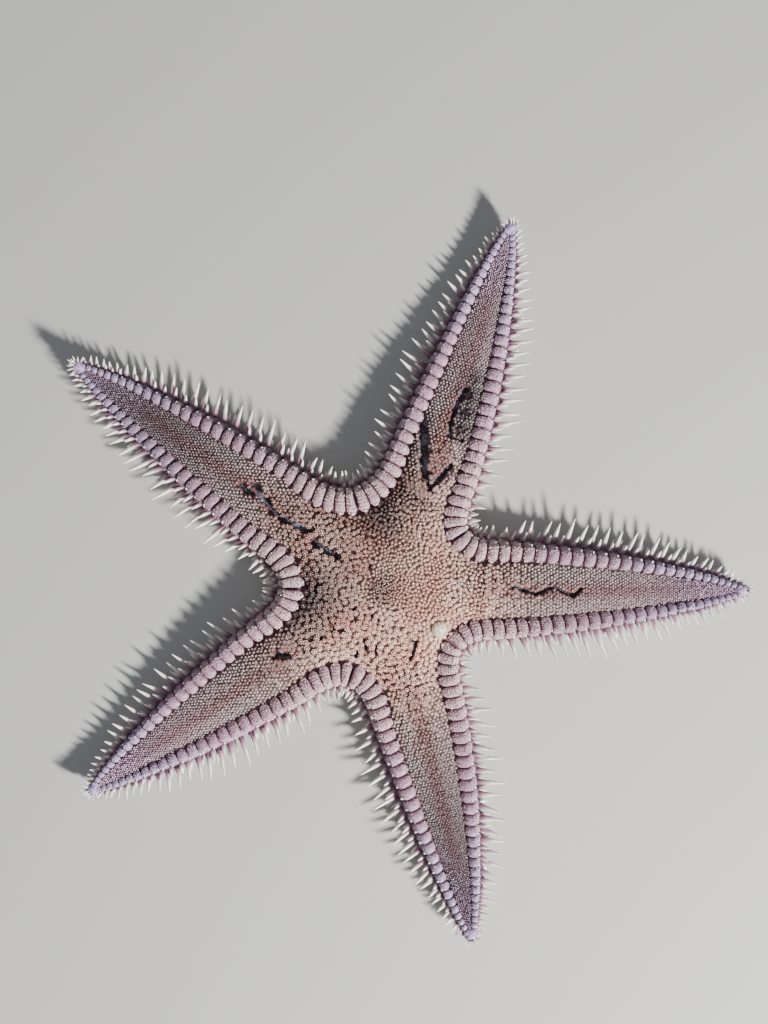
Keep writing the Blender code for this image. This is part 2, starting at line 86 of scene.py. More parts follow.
# %% Plan of the arms
ARM_DIRECTIONS = np.radians((-0.2, 70.6, 143.9, 214.6, 284.2))
ARM_LENGTHS = np.array((86.6, 92.0, 90.5, 84.8, 86.0)) * MM
ARM_HALF_WIDTHS = np.array((13.0, 12.7, 12.6, 13.0, 12.8)) * MM
ARM_BOWS = np.array((0.0, -1.5, -0.5, 0.0, 1.0)) * MM
ARM_TAPER = 0.70
NEAR_TIP = 0.985
CORNER_LEGS = np.array((7, 14, 10, 9, 8)) * MM
NEAREST_START = 5 * MM
START_STEPS = 2000
ARMS = range(5)
SIDES = (1, -1)
OUT = np.column_stack((np.cos(ARM_DIRECTIONS), np.sin(ARM_DIRECTIONS)))
LEFT = np.column_stack((-OUT[:, 1], OUT[:, 0]))


def side_point(arm, side, distance):
    """Places on an arm's left (1), right (-1) or middle (0) line, by distance from the centre."""
    t = np.clip(np.asarray(distance) / ARM_LENGTHS[arm], 0, 1)
    bow = ARM_BOWS[arm] * 4 * t * (1 - t)
    half_width = ARM_HALF_WIDTHS[arm] * (1 - t * t) ** ARM_TAPER
    return (CENTRE + np.multiply.outer(np.asarray(distance), OUT[arm])
            + np.multiply.outer(bow + side * half_width, LEFT[arm]))


def half_width(arm, t, until=NEAR_TIP):
    """Half the width of an arm at a share of its length, never 0 at the tip."""
    return ARM_HALF_WIDTHS[arm] * (1 - np.clip(t, 0, until) ** 2) ** ARM_TAPER


def corner_of(arm, side):
    """The number of the corner beside an arm. Corner 0 lies between arms 0 and 1."""
    return arm if side > 0 else (arm - 1) % 5


def corner_line(corner):
    following = (corner + 1) % 5
    turn = (ARM_DIRECTIONS[following] - ARM_DIRECTIONS[corner]) % (2 * math.pi)
    angle = ARM_DIRECTIONS[corner] + turn / 2
    return np.array((math.cos(angle), math.sin(angle)))


def corner_start(arm, side):
    """How far along an arm its margin meets the line that halves the corner."""
    line = corner_line(corner_of(arm, side))
    distance = np.linspace(NEAREST_START, ARM_LENGTHS[arm] / 2, START_STEPS)
    x, y = (side_point(arm, side, distance) - CENTRE).T
    return float(np.interp(0, side * (line[1] * x - line[0] * y), distance))


print("corners start", [round(corner_start(arm, 1) / MM, 1) for arm in ARMS], "mm out")

# %% Margins
RIM_STEP = 0.1 * MM
BEND_POINTS = 40
SIDE_POINTS = 400
CLOSER_TO_TIP = 1.6


def margin(arm, side):
    """Points along a margin every RIM_STEP, and the distance run at each."""
    corner = corner_of(arm, side)
    right, left = corner, (corner + 1) % 5
    starts = corner_start(right, 1), corner_start(left, -1)
    leg = CORNER_LEGS[corner]
    meeting = (side_point(right, 1, starts[0]) + side_point(left, -1, starts[1])) / 2
    ends = side_point(right, 1, starts[0] + leg), side_point(left, -1, starts[1] + leg)
    near, far = ends if side > 0 else ends[::-1]
    start = (starts[0] if side > 0 else starts[1]) + leg
    v = np.linspace(0.5, 1, BEND_POINTS)[:-1, None]
    bend = (1 - v) ** 2 * far + 2 * v * (1 - v) * meeting + v**2 * near
    reach = ARM_LENGTHS[arm] - start
    steps = ARM_LENGTHS[arm] - reach * (1 - np.linspace(0, 1, SIDE_POINTS)) ** CLOSER_TO_TIP
    points = np.vstack((bend, side_point(arm, side, steps)))
    run = np.concatenate(([0], np.cumsum(np.hypot(*np.diff(points, axis=0).T))))
    even = np.arange(0, run[-1], RIM_STEP)
    return np.column_stack([np.interp(even, run, points[:, k]) for k in (0, 1)]), even


MARGINS = {(arm, side): margin(arm, side) for arm in ARMS for side in SIDES}
print("margins run", [round(float(MARGINS[arm, 1][1][-1]) / MM) for arm in ARMS], "mm")

# %% [markdown]
# Heights fall from the disc to the tips, and are read off a few stations along an arm. Near
# its tip each arm curls up from the floor, so a lift is added to all that grows there.

# %% Heights
HEIGHT_AT = (0.0, 0.14, 0.30, 0.50, 0.70, 0.85, 1.0)
FIELD_HEIGHTS = np.array((11.8, 11.0, 10.0, 8.0, 5.9, 4.1, 2.6)) * MM
CREST_HEIGHTS = np.array((9.2, 9.2, 9.0, 7.8, 6.1, 4.5, 3.0)) * MM
TIP_LIFTS = np.array((3.0, 3.0, 4.2, 2.8, 3.0)) * MM
LIFT_FROM = 0.72
BROAD = 6 * MM


def lift(arm, t):
    """How far the arm has curled up from the floor."""
    return TIP_LIFTS[arm] * (np.clip(t - LIFT_FROM, 0, None) / (1 - LIFT_FROM)) ** 2


def crest(t):
    return np.interp(t, HEIGHT_AT, CREST_HEIGHTS)


def middle_height(t):
    return np.interp(t, HEIGHT_AT, FIELD_HEIGHTS)


def slim(arm, t, least=0):
    """1 where an arm is broad, less where it is thin near its tip."""
    return np.clip(half_width(arm, t) / BROAD, least, 1)


print("crest at the disc and at half way:", crest(0), crest(0.5))

# %% [markdown]
# Plates stand in a row along each margin, close together in the corners and at the tips. A
# place on a margin has its direction along, the direction inwards, and its share of the arm.

# %% Stations of the marginal plates
PLATED_SHORT = 2.0 * MM
PITCH_AT = (0, 0.1, 0.3, 0.5, 0.7, 0.85, 1)
PITCHES = np.array((2.75, 2.75, 2.9, 2.9, 2.6, 2.0, 1.2)) * MM
BROADEST = 0.75
PLATE_AT = (0, 0.2, 0.45, 0.7, 0.9, 1)
PLATE_LENGTHS = np.array((5.2, 5.0, 4.6, 3.6, 2.3, 1.4)) * MM
CORNER_PLATE_LENGTHS = np.array((6.2, 7.1, 6.7, 6.5, 5.7)) * MM
DIRECTION_REACH = 0.3 * MM
PACE_STEPS = 2001
PACES_EVENED = 20


def plated(arm, side):
    return MARGINS[arm, side][1][-1] - PLATED_SHORT


def rim_at(arm, side, at):
    """Places at distances along a margin: point, direction along, direction inwards, share."""
    points, run = MARGINS[arm, side]
    at = np.asarray(at, float)

    def read(x):
        near = np.clip(np.abs(x), 0, run[-1])
        place = np.stack([np.interp(near, run, points[:, k]) for k in (0, 1)], -1) - CENTRE
        axis = (points[0] - CENTRE) / np.linalg.norm(points[0] - CENTRE)
        beyond = 2 * (place @ axis)[..., None] * axis - place
        return CENTRE + np.where((x < 0)[..., None], beyond, place)

    here = read(at)
    along = read(at + DIRECTION_REACH) - read(at - DIRECTION_REACH)
    along /= np.linalg.norm(along, axis=-1, keepdims=True)
    inward = np.stack((along[..., 1], -along[..., 0]), -1) * side
    t = np.clip((here - CENTRE) @ OUT[arm] / ARM_LENGTHS[arm], 0, 1)
    return here, along, inward, t


def plate_length(arm, side, share):
    """How far the plates reach inwards, longest in the corners."""
    length = np.interp(share, PLATE_AT, PLATE_LENGTHS)
    fade = np.clip(1 - np.asarray(share) / PLATE_AT[1], 0, None)
    return length + (CORNER_PLATE_LENGTHS[corner_of(arm, side)] - length) * fade


def plate_ends(arm, side):
    """Where plates begin and end along a margin, evenly spaced where they are broadest."""
    fine = np.linspace(0, 1, PACE_STEPS)
    here, _, inward, _ = rim_at(arm, side, fine * plated(arm, side))
    broad = here + inward * (plate_length(arm, side, fine) * BROADEST)[:, None]
    paces = np.hypot(*np.diff(broad, axis=0).T)
    window = np.ones(2 * PACES_EVENED + 1) / (2 * PACES_EVENED + 1)
    paces = np.convolve(np.pad(paces, PACES_EVENED, mode="edge"), window, mode="valid")
    passed = np.concatenate(([0], np.cumsum(paces / np.interp(fine[1:], PITCH_AT, PITCHES))))
    count = round(passed[-1])
    return np.interp(np.linspace(0, passed[-1], count + 1), passed, fine) * plated(arm, side)


ENDS = {(arm, side): plate_ends(arm, side) for arm in ARMS for side in SIDES}
print("plates along the margins:", [len(ends) - 1 for ends in ENDS.values()])

# %% [markdown]
# The upper face is a low dome on the disc and a low ridge on each arm. Its height depends on
# how far a place is from the plates. A KD tree over all margins finds that quickly, so any
# place can be asked for its arm, depth and height.

# %% Nearest margin
RIM_POINTS = np.vstack([MARGINS[arm, side][0] for arm in ARMS for side in SIDES])
RIM_PLATE = np.concatenate(
    [plate_length(a, s, MARGINS[a, s][1] / plated(a, s)) for a in ARMS for s in SIDES])
rim_tree = kdtree.KDTree(len(RIM_POINTS))
for index, (x, y) in enumerate(RIM_POINTS):
    rim_tree.insert((x, y, 0), index)
rim_tree.balance()


def to_margin(points):
    """The depth of places from the nearest margin, and the length of the plates there."""
    found = [rim_tree.find((x, y, 0)) for x, y in points]
    index = np.array([hit[1] for hit in found])
    return np.array([hit[2] for hit in found]), RIM_PLATE[index]


print(len(RIM_POINTS), "margin points in the tree")

# %% Height of the upper face
SHARED_LENGTH = 88 * MM
SHARED_UNTIL = (20 * MM, 40 * MM)
FIELD_STEP = 0.9 * MM
DOME_POWER = 2.3
SPAN_STATIONS = np.linspace(0, NEAR_TIP, 70)
NARROWEST_SPAN = 0.2 * MM


def arm_and_share(points):
    """Which arm a place belongs to, and its share of that arm's length."""
    forward = (points - CENTRE) @ OUT.T
    arm = forward.argmax(1)
    ahead = forward[np.arange(len(points)), arm]
    own = np.clip((ahead - SHARED_UNTIL[0]) / (SHARED_UNTIL[1] - SHARED_UNTIL[0]), 0, 1)
    length = SHARED_LENGTH + (ARM_LENGTHS[arm] - SHARED_LENGTH) * own
    return arm, np.clip(ahead / length, 0, 1)


def middle_spans(arm):
    """How far the plates' inner ends are from an arm's midline, at each station."""
    depth, plate = to_margin(side_point(arm, 0, SPAN_STATIONS * ARM_LENGTHS[arm]))
    return np.clip(depth - plate, NARROWEST_SPAN, None)


SPANS = np.array([middle_spans(arm) for arm in ARMS])


def lateral(points, arm):
    """How far places are to the left of their arm's middle line."""
    away = points - CENTRE
    ahead = (away * OUT[arm]).sum(1)
    t = np.clip(ahead / ARM_LENGTHS[arm], 0, 1)
    return (away * LEFT[arm]).sum(1) - ARM_BOWS[arm] * 4 * t * (1 - t)


def field_of(points):
    """For places in plan: arm, share, depth, plate length, and height of the upper face."""
    arm, t = arm_and_share(points)
    depth, plate = to_margin(points)
    span = np.zeros(len(points))
    for k in ARMS:
        span[arm == k] = np.interp(t[arm == k], SPAN_STATIONS, SPANS[k])
    thin = slim(arm, t)
    edge = crest(t) - FIELD_STEP * thin
    rise = 1 - (1 - np.clip((depth - plate) / span, 0, 1)) ** DOME_POWER
    height = edge + (middle_height(t) - edge) * rise
    return arm, t, depth, plate, height


print("the disc's plates leave", round(float(SPANS[:, 0].mean()) / MM, 1), "mm of dome each way")

# %% [markdown]
# The skin has long open cracks on three arms and short ones on a fourth and on the disc. Each
# is a line of a few places in millimetres from the disc's centre, with its width. The skin
# sinks there and carries no paxillae. Soft round patches darken or redden what lies near.

# %% Cracks and patches
CRACKS = (
    # Arm 3, from its outer end inwards
    (1.3, ((-33.3, 24.5), (-30.7, 22.4))),
    (1.6, ((-30.0, 24.5), (-28.3, 21.9), (-26.4, 19.6), (-24.3, 16.8), (-21.0, 15.8), (-17.5, 13.7))),
    (1.5, ((-16.3, 11.3), (-14.4, 10.1), (-10.6, 7.8))),
    # Arm 2: the ledge and its foot, then the fork, its end and its branch
    (1.3, ((19.4, 47.2), (18.2, 45.0), (16.8, 42.0), (15.9, 39.0), (15.5, 36.0))),
    (0.9, ((15.5, 35.8), (18.6, 35.0))),
    (1.9, ((9.3, 39.5), (9.5, 36.0), (9.4, 30.5), (10.0, 27.0))),
    (1.2, ((10.2, 26.6), (10.9, 23.6))),
    (1.3, ((10.9, 23.6), (13.1, 26.0), (15.6, 29.0))),
    # Arm 1, a wavy one, and arm 4, a hole
    (1.0, ((30.7, 0.7), (32.8, 0.0), (35.9, -1.2), (38.0, -0.2), (40.1, 0.7), (42.2, -0.5),
           (44.8, -1.4), (46.3, 0.0))),
    (1.4, ((-24.8, -15.0), (-22.3, -15.3))),
    # The disc, left of its middle and lower left
    (0.6, ((-12.7, -6.6), (-12.3, -7.3))),
    (0.6, ((-11.1, -7.3), (-11.8, -10.1))),
    (0.5, ((-11.3, -9.4), (-9.2, -9.2))),
    (0.6, ((-16.5, -11.6), (-15.3, -12.0), (-14.4, -11.1))),
    # The disc, round its middle
    (0.5, ((-3.1, 6.1), (-3.3, 5.0))),
    (0.6, ((-5.9, -3.5), (-6.8, -4.5))),
    (0.5, ((-6.8, -5.9), (-6.4, -6.6))),
    (0.5, ((-2.7, -5.9), (-2.4, -6.0))),
    (0.4, ((-1.3, -6.7), (-1.1, -6.9))),
    # The disc, at the bottom and lower right
    (0.8, ((-4.5, -11.6), (-4.0, -13.7))),
    (0.6, ((-1.9, -12.7), (-1.7, -14.6))),
    (1.0, ((-6.1, -14.6), (-6.4, -15.6))),
    (0.7, ((7.8, -11.6), (7.1, -14.2), (5.9, -16.5))),
    (0.5, ((6.6, -11.6), (7.8, -12.0))),
)
CRACK_DEPTH = 0.85 * MM
CRACK_BREADTH = 0.5
CRACK_WALL = 0.22 * MM
RAGGED = 0.36
RAGGED_SIZE = 1.1
RAGGED_FINE_SIZE = 0.4
RAGGED_FINE_SHARE = 0.7
# Each patch: its place, radius and strength
DARK_PATCHES = (
    # Corner of arms 2 and 3, corner of arms 3 and 4, left of the centre and below that: on the
    #     # disc partly dark sediment and partly painted shade
    ((0.0, 16.5), 5.5, 0.9), ((5.5, 21.0), 3.5, 0.6), ((-17.0, -1.0), 8.0, 0.92),
    ((-9.0, 4.0), 9.0, 0.38), ((-15.0, -8.0), 4.0, 0.55),
    # Arm 2, down the ledge, then beside the fork and its branch
    ((21.7, 49.6), 2.6, 0.85), ((20.5, 45.6), 3.2, 1.1), ((19.4, 41.5), 3.1, 1.1),
    ((18.4, 37.8), 2.9, 1.05), ((8.8, 39.0), 2.9, 0.9), ((7.6, 33.0), 2.4, 0.6),
    ((15.8, 27.4), 2.0, 0.45),
)
RED_PATCHES = (
    # Arm 2, from inside the fork to the ledge's end
    ((12.6, 30.0), 2.8, 0.9), ((13.2, 35.0), 3.0, 0.9), ((14.6, 40.0), 2.4, 0.85),
    ((16.6, 45.0), 2.0, 0.7),
    # Arm 3, above its crack and at both ends of it
    ((-25.2, 21.6), 2.2, 0.6), ((-31.5, 25.3), 2.0, 0.6), ((-18.0, 12.2), 2.2, 0.5),
)
TORN_REACH = 1.0 * MM
TORN_RED = 0.35
RED_SHARE = 0.7


def clouds(points, size, seed):
    """Soft noise from -1 to 1 over places, with patches of about this size."""
    return np.array([noise.noise(Vector((x / size, y / size, seed))) for x, y in points])


def crack_gap(points):
    """How far places are from the edge of the nearest crack, less than 0 inside it."""
    gap = np.full(len(points), 1e9)
    local = (points - CENTRE) / MM
    fine = clouds(local, RAGGED_FINE_SIZE, 8.0)
    ragged = clouds(local, RAGGED_SIZE, 3.0) + RAGGED_FINE_SHARE * fine
    for width, line in CRACKS:
        line = np.array(line)
        near = np.full(len(points), 1e9)
        for a, b in zip(line, line[1:]):
            s = np.clip(((local - a) @ (b - a)) / ((b - a) @ (b - a)), 0, 1)
            near = np.minimum(near, np.hypot(*(local - a - s[:, None] * (b - a)).T))
        gap = np.minimum(gap, near - width * (CRACK_BREADTH + RAGGED * ragged))
    return gap * MM


def patched(points, patches):
    """How strong soft round patches are at places."""
    local = (points - CENTRE) / MM
    strong = np.zeros(len(points))
    for (x, y), radius, strength in patches:
        far = np.hypot(local[:, 0] - x, local[:, 1] - y) / radius
        strong = np.maximum(strong, strength * np.exp(-far**2))
    return strong


print(len(CRACKS), "cracks and", len(DARK_PATCHES), "dark patches")

# %% [markdown]
# Colours are kept as painters' swatches and turned into linear light. Each piece stores its
# colour in a tint attribute, worked out from where it grows, so skin and coat agree.

# %% Swatches


def swatch(red, green, blue):
    """A colour given in screen values from 0 to 255, as linear light."""
    c = np.array((red, green, blue)) / 255
    return np.where(c <= 0.04045, c / 12.92, ((c + 0.055) / 1.055) ** 2.4)


BEIGE = swatch(244, 208, 188)
ROSE = swatch(222, 156, 142)
RUSSET = swatch(172, 108, 100)
GREY_BEIGE = swatch(226, 210, 206)
LAVENDER = swatch(172, 152, 188)
MAUVE = swatch(162, 118, 140)
PALE_MAUVE = swatch(216, 168, 174)
PLUM = swatch(78, 48, 62)
UMBER = swatch(62, 40, 40)
SLATE = swatch(44, 38, 44)
IVORY = swatch(240, 232, 222)
CREAM = swatch(232, 210, 168)
SAND = swatch(222, 190, 160)
BLUE_GREY = swatch(150, 132, 158)
STEEL = swatch(104, 106, 118)


def mixed(first, second, share):
    """Colours between two, by a share for each place."""
    share = np.clip(np.asarray(share, float), 0, 1)[..., None]
    return np.asarray(first) * (1 - share) + np.asarray(second) * share


def smooth(low, high, x):
    """0 at low and 1 at high, with a soft start and end. low may be the larger one."""
    x = np.clip((np.asarray(x, float) - low) / (high - low), 0, 1)
    return x * x * (3 - 2 * x)


print("beige in linear light:", BEIGE.round(3))

# %% [markdown]
# The real upper face is beige and rosy on the disc, russet along the middle of each arm and
# lavender at its tip. Arms 3 and 5 are painted darker towards their tips and arms 1 and 4
# lighter: painted shade and painted light. One function mixes the swatches by place: the share
# of the arm, the side of the disc, painted lighter towards the lower right where the key lamp
# stands, partly its own tone and partly painted light, and clouds of soft noise.

# %% Shades of the upper face
CLOUD_SIZE = 6 * MM
CLOUD_SEED = 1.5
ROSIER_SIDE = (10 * MM, -8 * MM)
RIDGE_SHARE = 0.35
# Arms 3 and 5 are painted darker towards their tips and arms 1 and 4 lighter: painted shade and painted
# light.
ARM_PAINTED_LIGHT_AND_SHADE = np.array((1.15, 1.0, 0.52, 1.25, 0.62))
DISC_TONE = 0.13
# The disc is painted lighter towards the lower right, where the key lamp stands: partly its own tone,
# partly painted light.
PAINTED_LIGHT_AND_TONE_BY = 0.25
PAINTED_LIGHT_AND_TONE_TOWARDS = np.array((0.7, -0.7))
PAINTED_LIGHT_AND_TONE_OVER = 15 * MM
LIGHT_GROUND = 0.5


def shades_of_place(points, arm, t, depth):
    """The colours of granules' tips, their flanks and the ground between. The flanks are darkened
    as painted shade, and the ground partly as painted shade between the paxillae.
    """
    aside = np.abs(lateral(points, arm))
    ridge = smooth(RIDGE_SHARE, 0.0, aside / (depth + aside))
    cloud = clouds(points, CLOUD_SIZE, CLOUD_SEED)
    far = smooth(0.22, 0.5, t)
    tip = mixed(BEIGE, ROSE, 0.4 + 0.5 * cloud + 0.2 * smooth(*ROSIER_SIDE, points[:, 0]))
    tip = mixed(tip, GREY_BEIGE, far * 0.8)
    tip = mixed(tip, RUSSET, ridge * smooth(0.15, 0.35, t) * (1 - smooth(0.75, 0.95, t)) * 0.7)
    tip = mixed(tip, MAUVE, smooth(0.45, 0.7, t) * 0.35)
    tip = mixed(tip, mixed(LAVENDER, PALE_MAUVE, 0.4) * 0.72, smooth(0.65, 0.95, t))
    # The ground is dark partly as painted shade between the paxillae.
    ground = mixed(tip * 0.26, UMBER, smooth(0.12, 0.35, t))
    ground = mixed(ground, MAUVE * 0.34, smooth(0.35, 0.75, t))
    ground = mixed(ground, mixed(LAVENDER, MAUVE, 0.4) * 0.45, smooth(0.7, 0.95, t))
    # Painted shade and light by arm, towards the tips.
    tone = 1 + (ARM_PAINTED_LIGHT_AND_SHADE[arm] - 1) * smooth(0.35, 0.75, t)
    # Painted light on the lower right of the disc, partly its own tone.
    lighter = np.clip((points - CENTRE) @ PAINTED_LIGHT_AND_TONE_TOWARDS / PAINTED_LIGHT_AND_TONE_OVER, -1, 1)
    tone = tone * (1 + (DISC_TONE + PAINTED_LIGHT_AND_TONE_BY * lighter) * smooth(0.45, 0.25, t))
    tip, ground = tip * tone[:, None], ground * tone[:, None]
    ground = mixed(ground, tip * 0.4, far * LIGHT_GROUND)
    # The flank, between tip and ground, is painted shade on the sides of the paxillae.
    return tip, mixed(tip * 0.5, ground, 0.4 + 0.2 * far), ground


print("shades in the middle:", *shades_of_place(CENTRE[None], np.zeros(1, int), 0.0, 0.02))

# %% Marks on the upper face
MIDDLE_SPOT = 5 * MM
MIDDLE_CORE = 0.3
MIDDLE_SHARE = 0.4


def field_shades(points, arm, t, depth):
    """The same three colours with the spot, the red flesh and the dark patches."""
    tip, flank, ground = shades_of_place(points, arm, t, depth)
    away = np.hypot(*(points - CENTRE).T)
    spot = smooth(MIDDLE_SPOT, MIDDLE_CORE * MIDDLE_SPOT, away) * MIDDLE_SHARE
    tip, flank, ground = (mixed(shade, SLATE * 1.6, spot) for shade in (tip, flank, ground))
    torn = smooth(TORN_REACH, 0, crack_gap(points)) * TORN_RED
    red = np.maximum(patched(points, RED_PATCHES), torn)
    tip = mixed(tip, mixed(RUSSET, BEIGE, 0.25), red * RED_SHARE)
    flank = mixed(flank, RUSSET * 0.6, red * RED_SHARE)
    ground = mixed(ground, RUSSET * 0.42, red * RED_SHARE)
    # Dark patches: partly dark sediment, and on the disc partly painted shade.
    dark = patched(points, DARK_PATCHES)
    tip = mixed(tip, SLATE, dark * 0.78)
    flank = mixed(flank, SLATE, dark * 0.85)
    ground = mixed(ground, mixed(SLATE, PLUM, 0.3) * 0.42, dark)
    return tip, flank, ground


print("a red patch takes", RED_SHARE, "of the colour of torn flesh")

# %% [markdown]
# Granules, plates and spines are repeated thousands of times. Each is modelled once with bmesh
# as a small closed form. A heap then sets out its copies with numpy and joins them in one
# mesh, plain geometry for the renderer. Each copy has its own patch of the
# OFBake chart, at the place where it grows.

# %% Forms
SAME_POINT = 1e-6


def round_chart(mesh):
    """Unrolls a round form: round its Z axis across the chart, and up it from 0 to 1."""
    layer = mesh.loops.layers.uv.verify()
    heights = [vertex.co.z for vertex in mesh.verts]
    low, tall = min(heights), max(heights) - min(heights)
    for face in mesh.faces:
        middle = face.calc_center_median()
        facing = math.atan2(middle.y, middle.x)
        for loop in face.loops:
            x, y, z = loop.vert.co
            turn = math.atan2(y, x) - facing if math.hypot(x, y) > SAME_POINT else 0.0
            turn = (turn + math.pi) % (2 * math.pi) - math.pi
            loop[layer].uv = (0.5 + (facing + turn) / (2 * math.pi), (z - low) / tall)


class Form:
    """A small closed shape to repeat: points, triangles, chart and tone (0 root, 1 tip)."""

    def __init__(self, mesh):
        bmesh.ops.recalc_face_normals(mesh, faces=mesh.faces)
        bmesh.ops.triangulate(mesh, faces=mesh.faces)
        layer = mesh.loops.layers.uv.verify()
        mesh.verts.index_update()
        self.points = np.array([vertex.co for vertex in mesh.verts])
        self.faces = np.array([[v.index for v in face.verts] for face in mesh.faces])
        self.chart = np.array([loop[layer].uv for face in mesh.faces for loop in face.loops])
        heights = self.points[:, 2]
        self.tone = (heights - heights.min()) / (heights.max() - heights.min())
        mesh.free()


def turned(profile, steps):
    """A bmesh spun from a profile of (radius, height) points that starts and ends on the axis."""
    mesh = bmesh.new()
    points = [mesh.verts.new((radius, 0, height)) for radius, height in profile]
    edges = [mesh.edges.new(pair) for pair in zip(points, points[1:])]
    bmesh.ops.spin(mesh, geom=points + edges, cent=(0, 0, 0), axis=(0, 0, 1),
                   angle=2 * math.pi, steps=steps, use_merge=True)
    bmesh.ops.remove_doubles(mesh, verts=mesh.verts, dist=SAME_POINT)
    return mesh


def spun_form(profile, steps):
    mesh = turned(profile, steps)
    round_chart(mesh)
    return Form(mesh)


def bead_form(subdivisions):
    """A ball of triangles with a vertex at its top."""
    mesh = bmesh.new()
    bmesh.ops.create_icosphere(mesh, subdivisions=subdivisions, radius=1)
    turn = Vector((0, 0, 1)).rotation_difference(mesh.verts[:][0].co).to_matrix()
    bmesh.ops.rotate(mesh, verts=mesh.verts, cent=(0, 0, 0), matrix=turn)
    round_chart(mesh)
    return Form(mesh)


bead = bead_form(1)
pip = spun_form(((0, -1), (0.92, 0), (0, 1)), 4)
print("a bead has", len(bead.faces), "triangles and a pip", len(pip.faces))

# %% Heaps
PATCH = 0.003


class Heap:
    """Gathers copies of forms, to be joined in one mesh."""

    def __init__(self):
        self.points, self.faces, self.charts, self.tints = [], [], [], []
        self.count = 0

    def add(self, form, points, tints, corners, size=PATCH):
        """Adds copies: points and tints are (copies, vertices, 3), corners (copies, 2)."""
        copies, vertices = points.shape[:2]
        if not copies:
            return
        starts = self.count + np.arange(copies) * vertices
        self.faces.append((form.faces[None] + starts[:, None, None]).reshape(-1, 3))
        chart = corners[:, None, :] + form.chart[None] * np.asarray(size)
        self.charts.append(chart.reshape(-1, 2))
        self.points.append(points.reshape(-1, 3))
        self.tints.append(np.broadcast_to(tints, points.shape).reshape(-1, 3))
        self.count += copies * vertices


def stood(up, turn, size):
    """Frames for shapes that stand along up, turned about it, with a size along x, y and z.
    Each of the three is one for all or one for each."""
    up = np.atleast_2d(up)
    up = up / np.linalg.norm(up, axis=1, keepdims=True)
    helper = np.where(np.abs(up[:, 2:]) > 0.9, np.array((1.0, 0, 0)), np.array((0, 0, 1.0)))
    across = np.cross(helper, up)
    across /= np.linalg.norm(across, axis=1, keepdims=True)
    over = np.cross(up, across)
    cos, sin = np.cos(turn).reshape(-1, 1), np.sin(turn).reshape(-1, 1)
    axes = np.broadcast_arrays(across * cos + over * sin, over * cos - across * sin, up)
    return np.stack(axes, -1) * np.asarray(size)[..., None, :]


def set_out(form, places, frames):
    return np.einsum("nij,vj->nvi", frames, form.points) + places[:, None, :]


def graded(form, root, tip, power=1.0):
    """Tints that run from root to tip over each copy, by one colour for all or one for each.
    Most callers darken the root or the side turned to the body, as painted shade.
    """
    tone = (form.tone**power)[None, :, None]
    return np.atleast_2d(root)[:, None] * (1 - tone) + np.atleast_2d(tip)[:, None] * tone


def plant(heap, form, places, frames, root, tip, corners, power=1.0):
    """Adds copies at places, in their frames, with tints from root to tip."""
    heap.add(form, set_out(form, places, frames), graded(form, root, tip, power), corners)


draw = np.random.default_rng(11)
print("each copy's patch of the chart is", PATCH, "wide")

# %% Pieces from heaps


def store_tint(mesh, colours):
    """Keeps a colour for each vertex in the tint attribute, which every finish reads."""
    tint = mesh.attributes.new("tint", "FLOAT_COLOR", "POINT")
    stored = np.ones((len(mesh.vertices), 4), np.float32)
    stored[:, :3] = colours
    tint.data.foreach_set("color", stored.ravel())


def place_mesh(name, mesh, material, replaced=()):
    """Puts a finished mesh in the scene as a piece of the star."""
    mesh.materials.append(material)
    mesh.shade_smooth()
    thing = in_scene(name, mesh)
    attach(thing, "root")
    if replaced:
        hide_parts(*replaced)


def place_lone(name, mesh, tints, material, replaced):
    """Turns a bmesh with its chart into a piece of its own."""
    data = bpy.data.meshes.new(name)
    mesh.to_mesh(data)
    mesh.free()
    data.uv_layers[0].name = "OFBake"
    store_tint(data, tints)
    print(f"{name}: {len(data.polygons)} faces")
    place_mesh(name, data, material, replaced)


def join_heap(name, heap, material, replaced=()):
    """Joins a heap in one mesh with its tint and its OFBake chart."""
    points, faces = np.concatenate(heap.points), np.concatenate(heap.faces)
    mesh = bpy.data.meshes.new(name)
    mesh.vertices.add(len(points))
    mesh.vertices.foreach_set("co", points.astype(np.float32).ravel())
    mesh.loops.add(faces.size)
    mesh.loops.foreach_set("vertex_index", faces.astype(np.int32).ravel())
    mesh.polygons.add(len(faces))
    mesh.polygons.foreach_set("loop_start", np.arange(0, faces.size, 3, dtype=np.int32))
    mesh.update(calc_edges=True)
    chart = mesh.uv_layers.new(name="OFBake")
    chart.uv.foreach_set("vector", np.concatenate(heap.charts).astype(np.float32).ravel())
    store_tint(mesh, np.concatenate(heap.tints))
    print(f"{name}: {len(faces)} triangles")
    place_mesh(name, mesh, material, replaced)


def join_on_arm(name, heap, material, arm, ends=()):
    """Joins a heap as a piece of one arm. ends says which of the arm's solids it stands for."""
    nodes = [f"arm_{arm + 1}{end}" for end in ends]
    join_heap(f"{name}_{arm + 1}", heap, material, nodes)


def grow_on_arms(name, add, material, ends=()):
    """Makes one piece for each arm of what add() grows on its left and its right side."""
    for arm in ARMS:
        heap = Heap()
        for side in SIDES:
            add(heap, arm, side)
        join_on_arm(name, heap, material, arm, ends)


INNER, TIP = "", "_tip"
flesh = ["disc"] + [f"arm_{arm + 1}{end}" for arm in ARMS for end in (INNER, TIP)]
print("nodes of flesh:", flesh)

# %% [markdown]
# The chart is the flat picture that colours can later be baked in. The skin is unrolled on it
# arm by arm, and a granule or spine has its patch where its root stands.

# %% Places on the chart
CHART_FROM, CHART_LONG = 0.02, 0.95
CHART_MIDDLES = {"over": 0.25, "under": 0.75}
CHART_HALF = 0.23


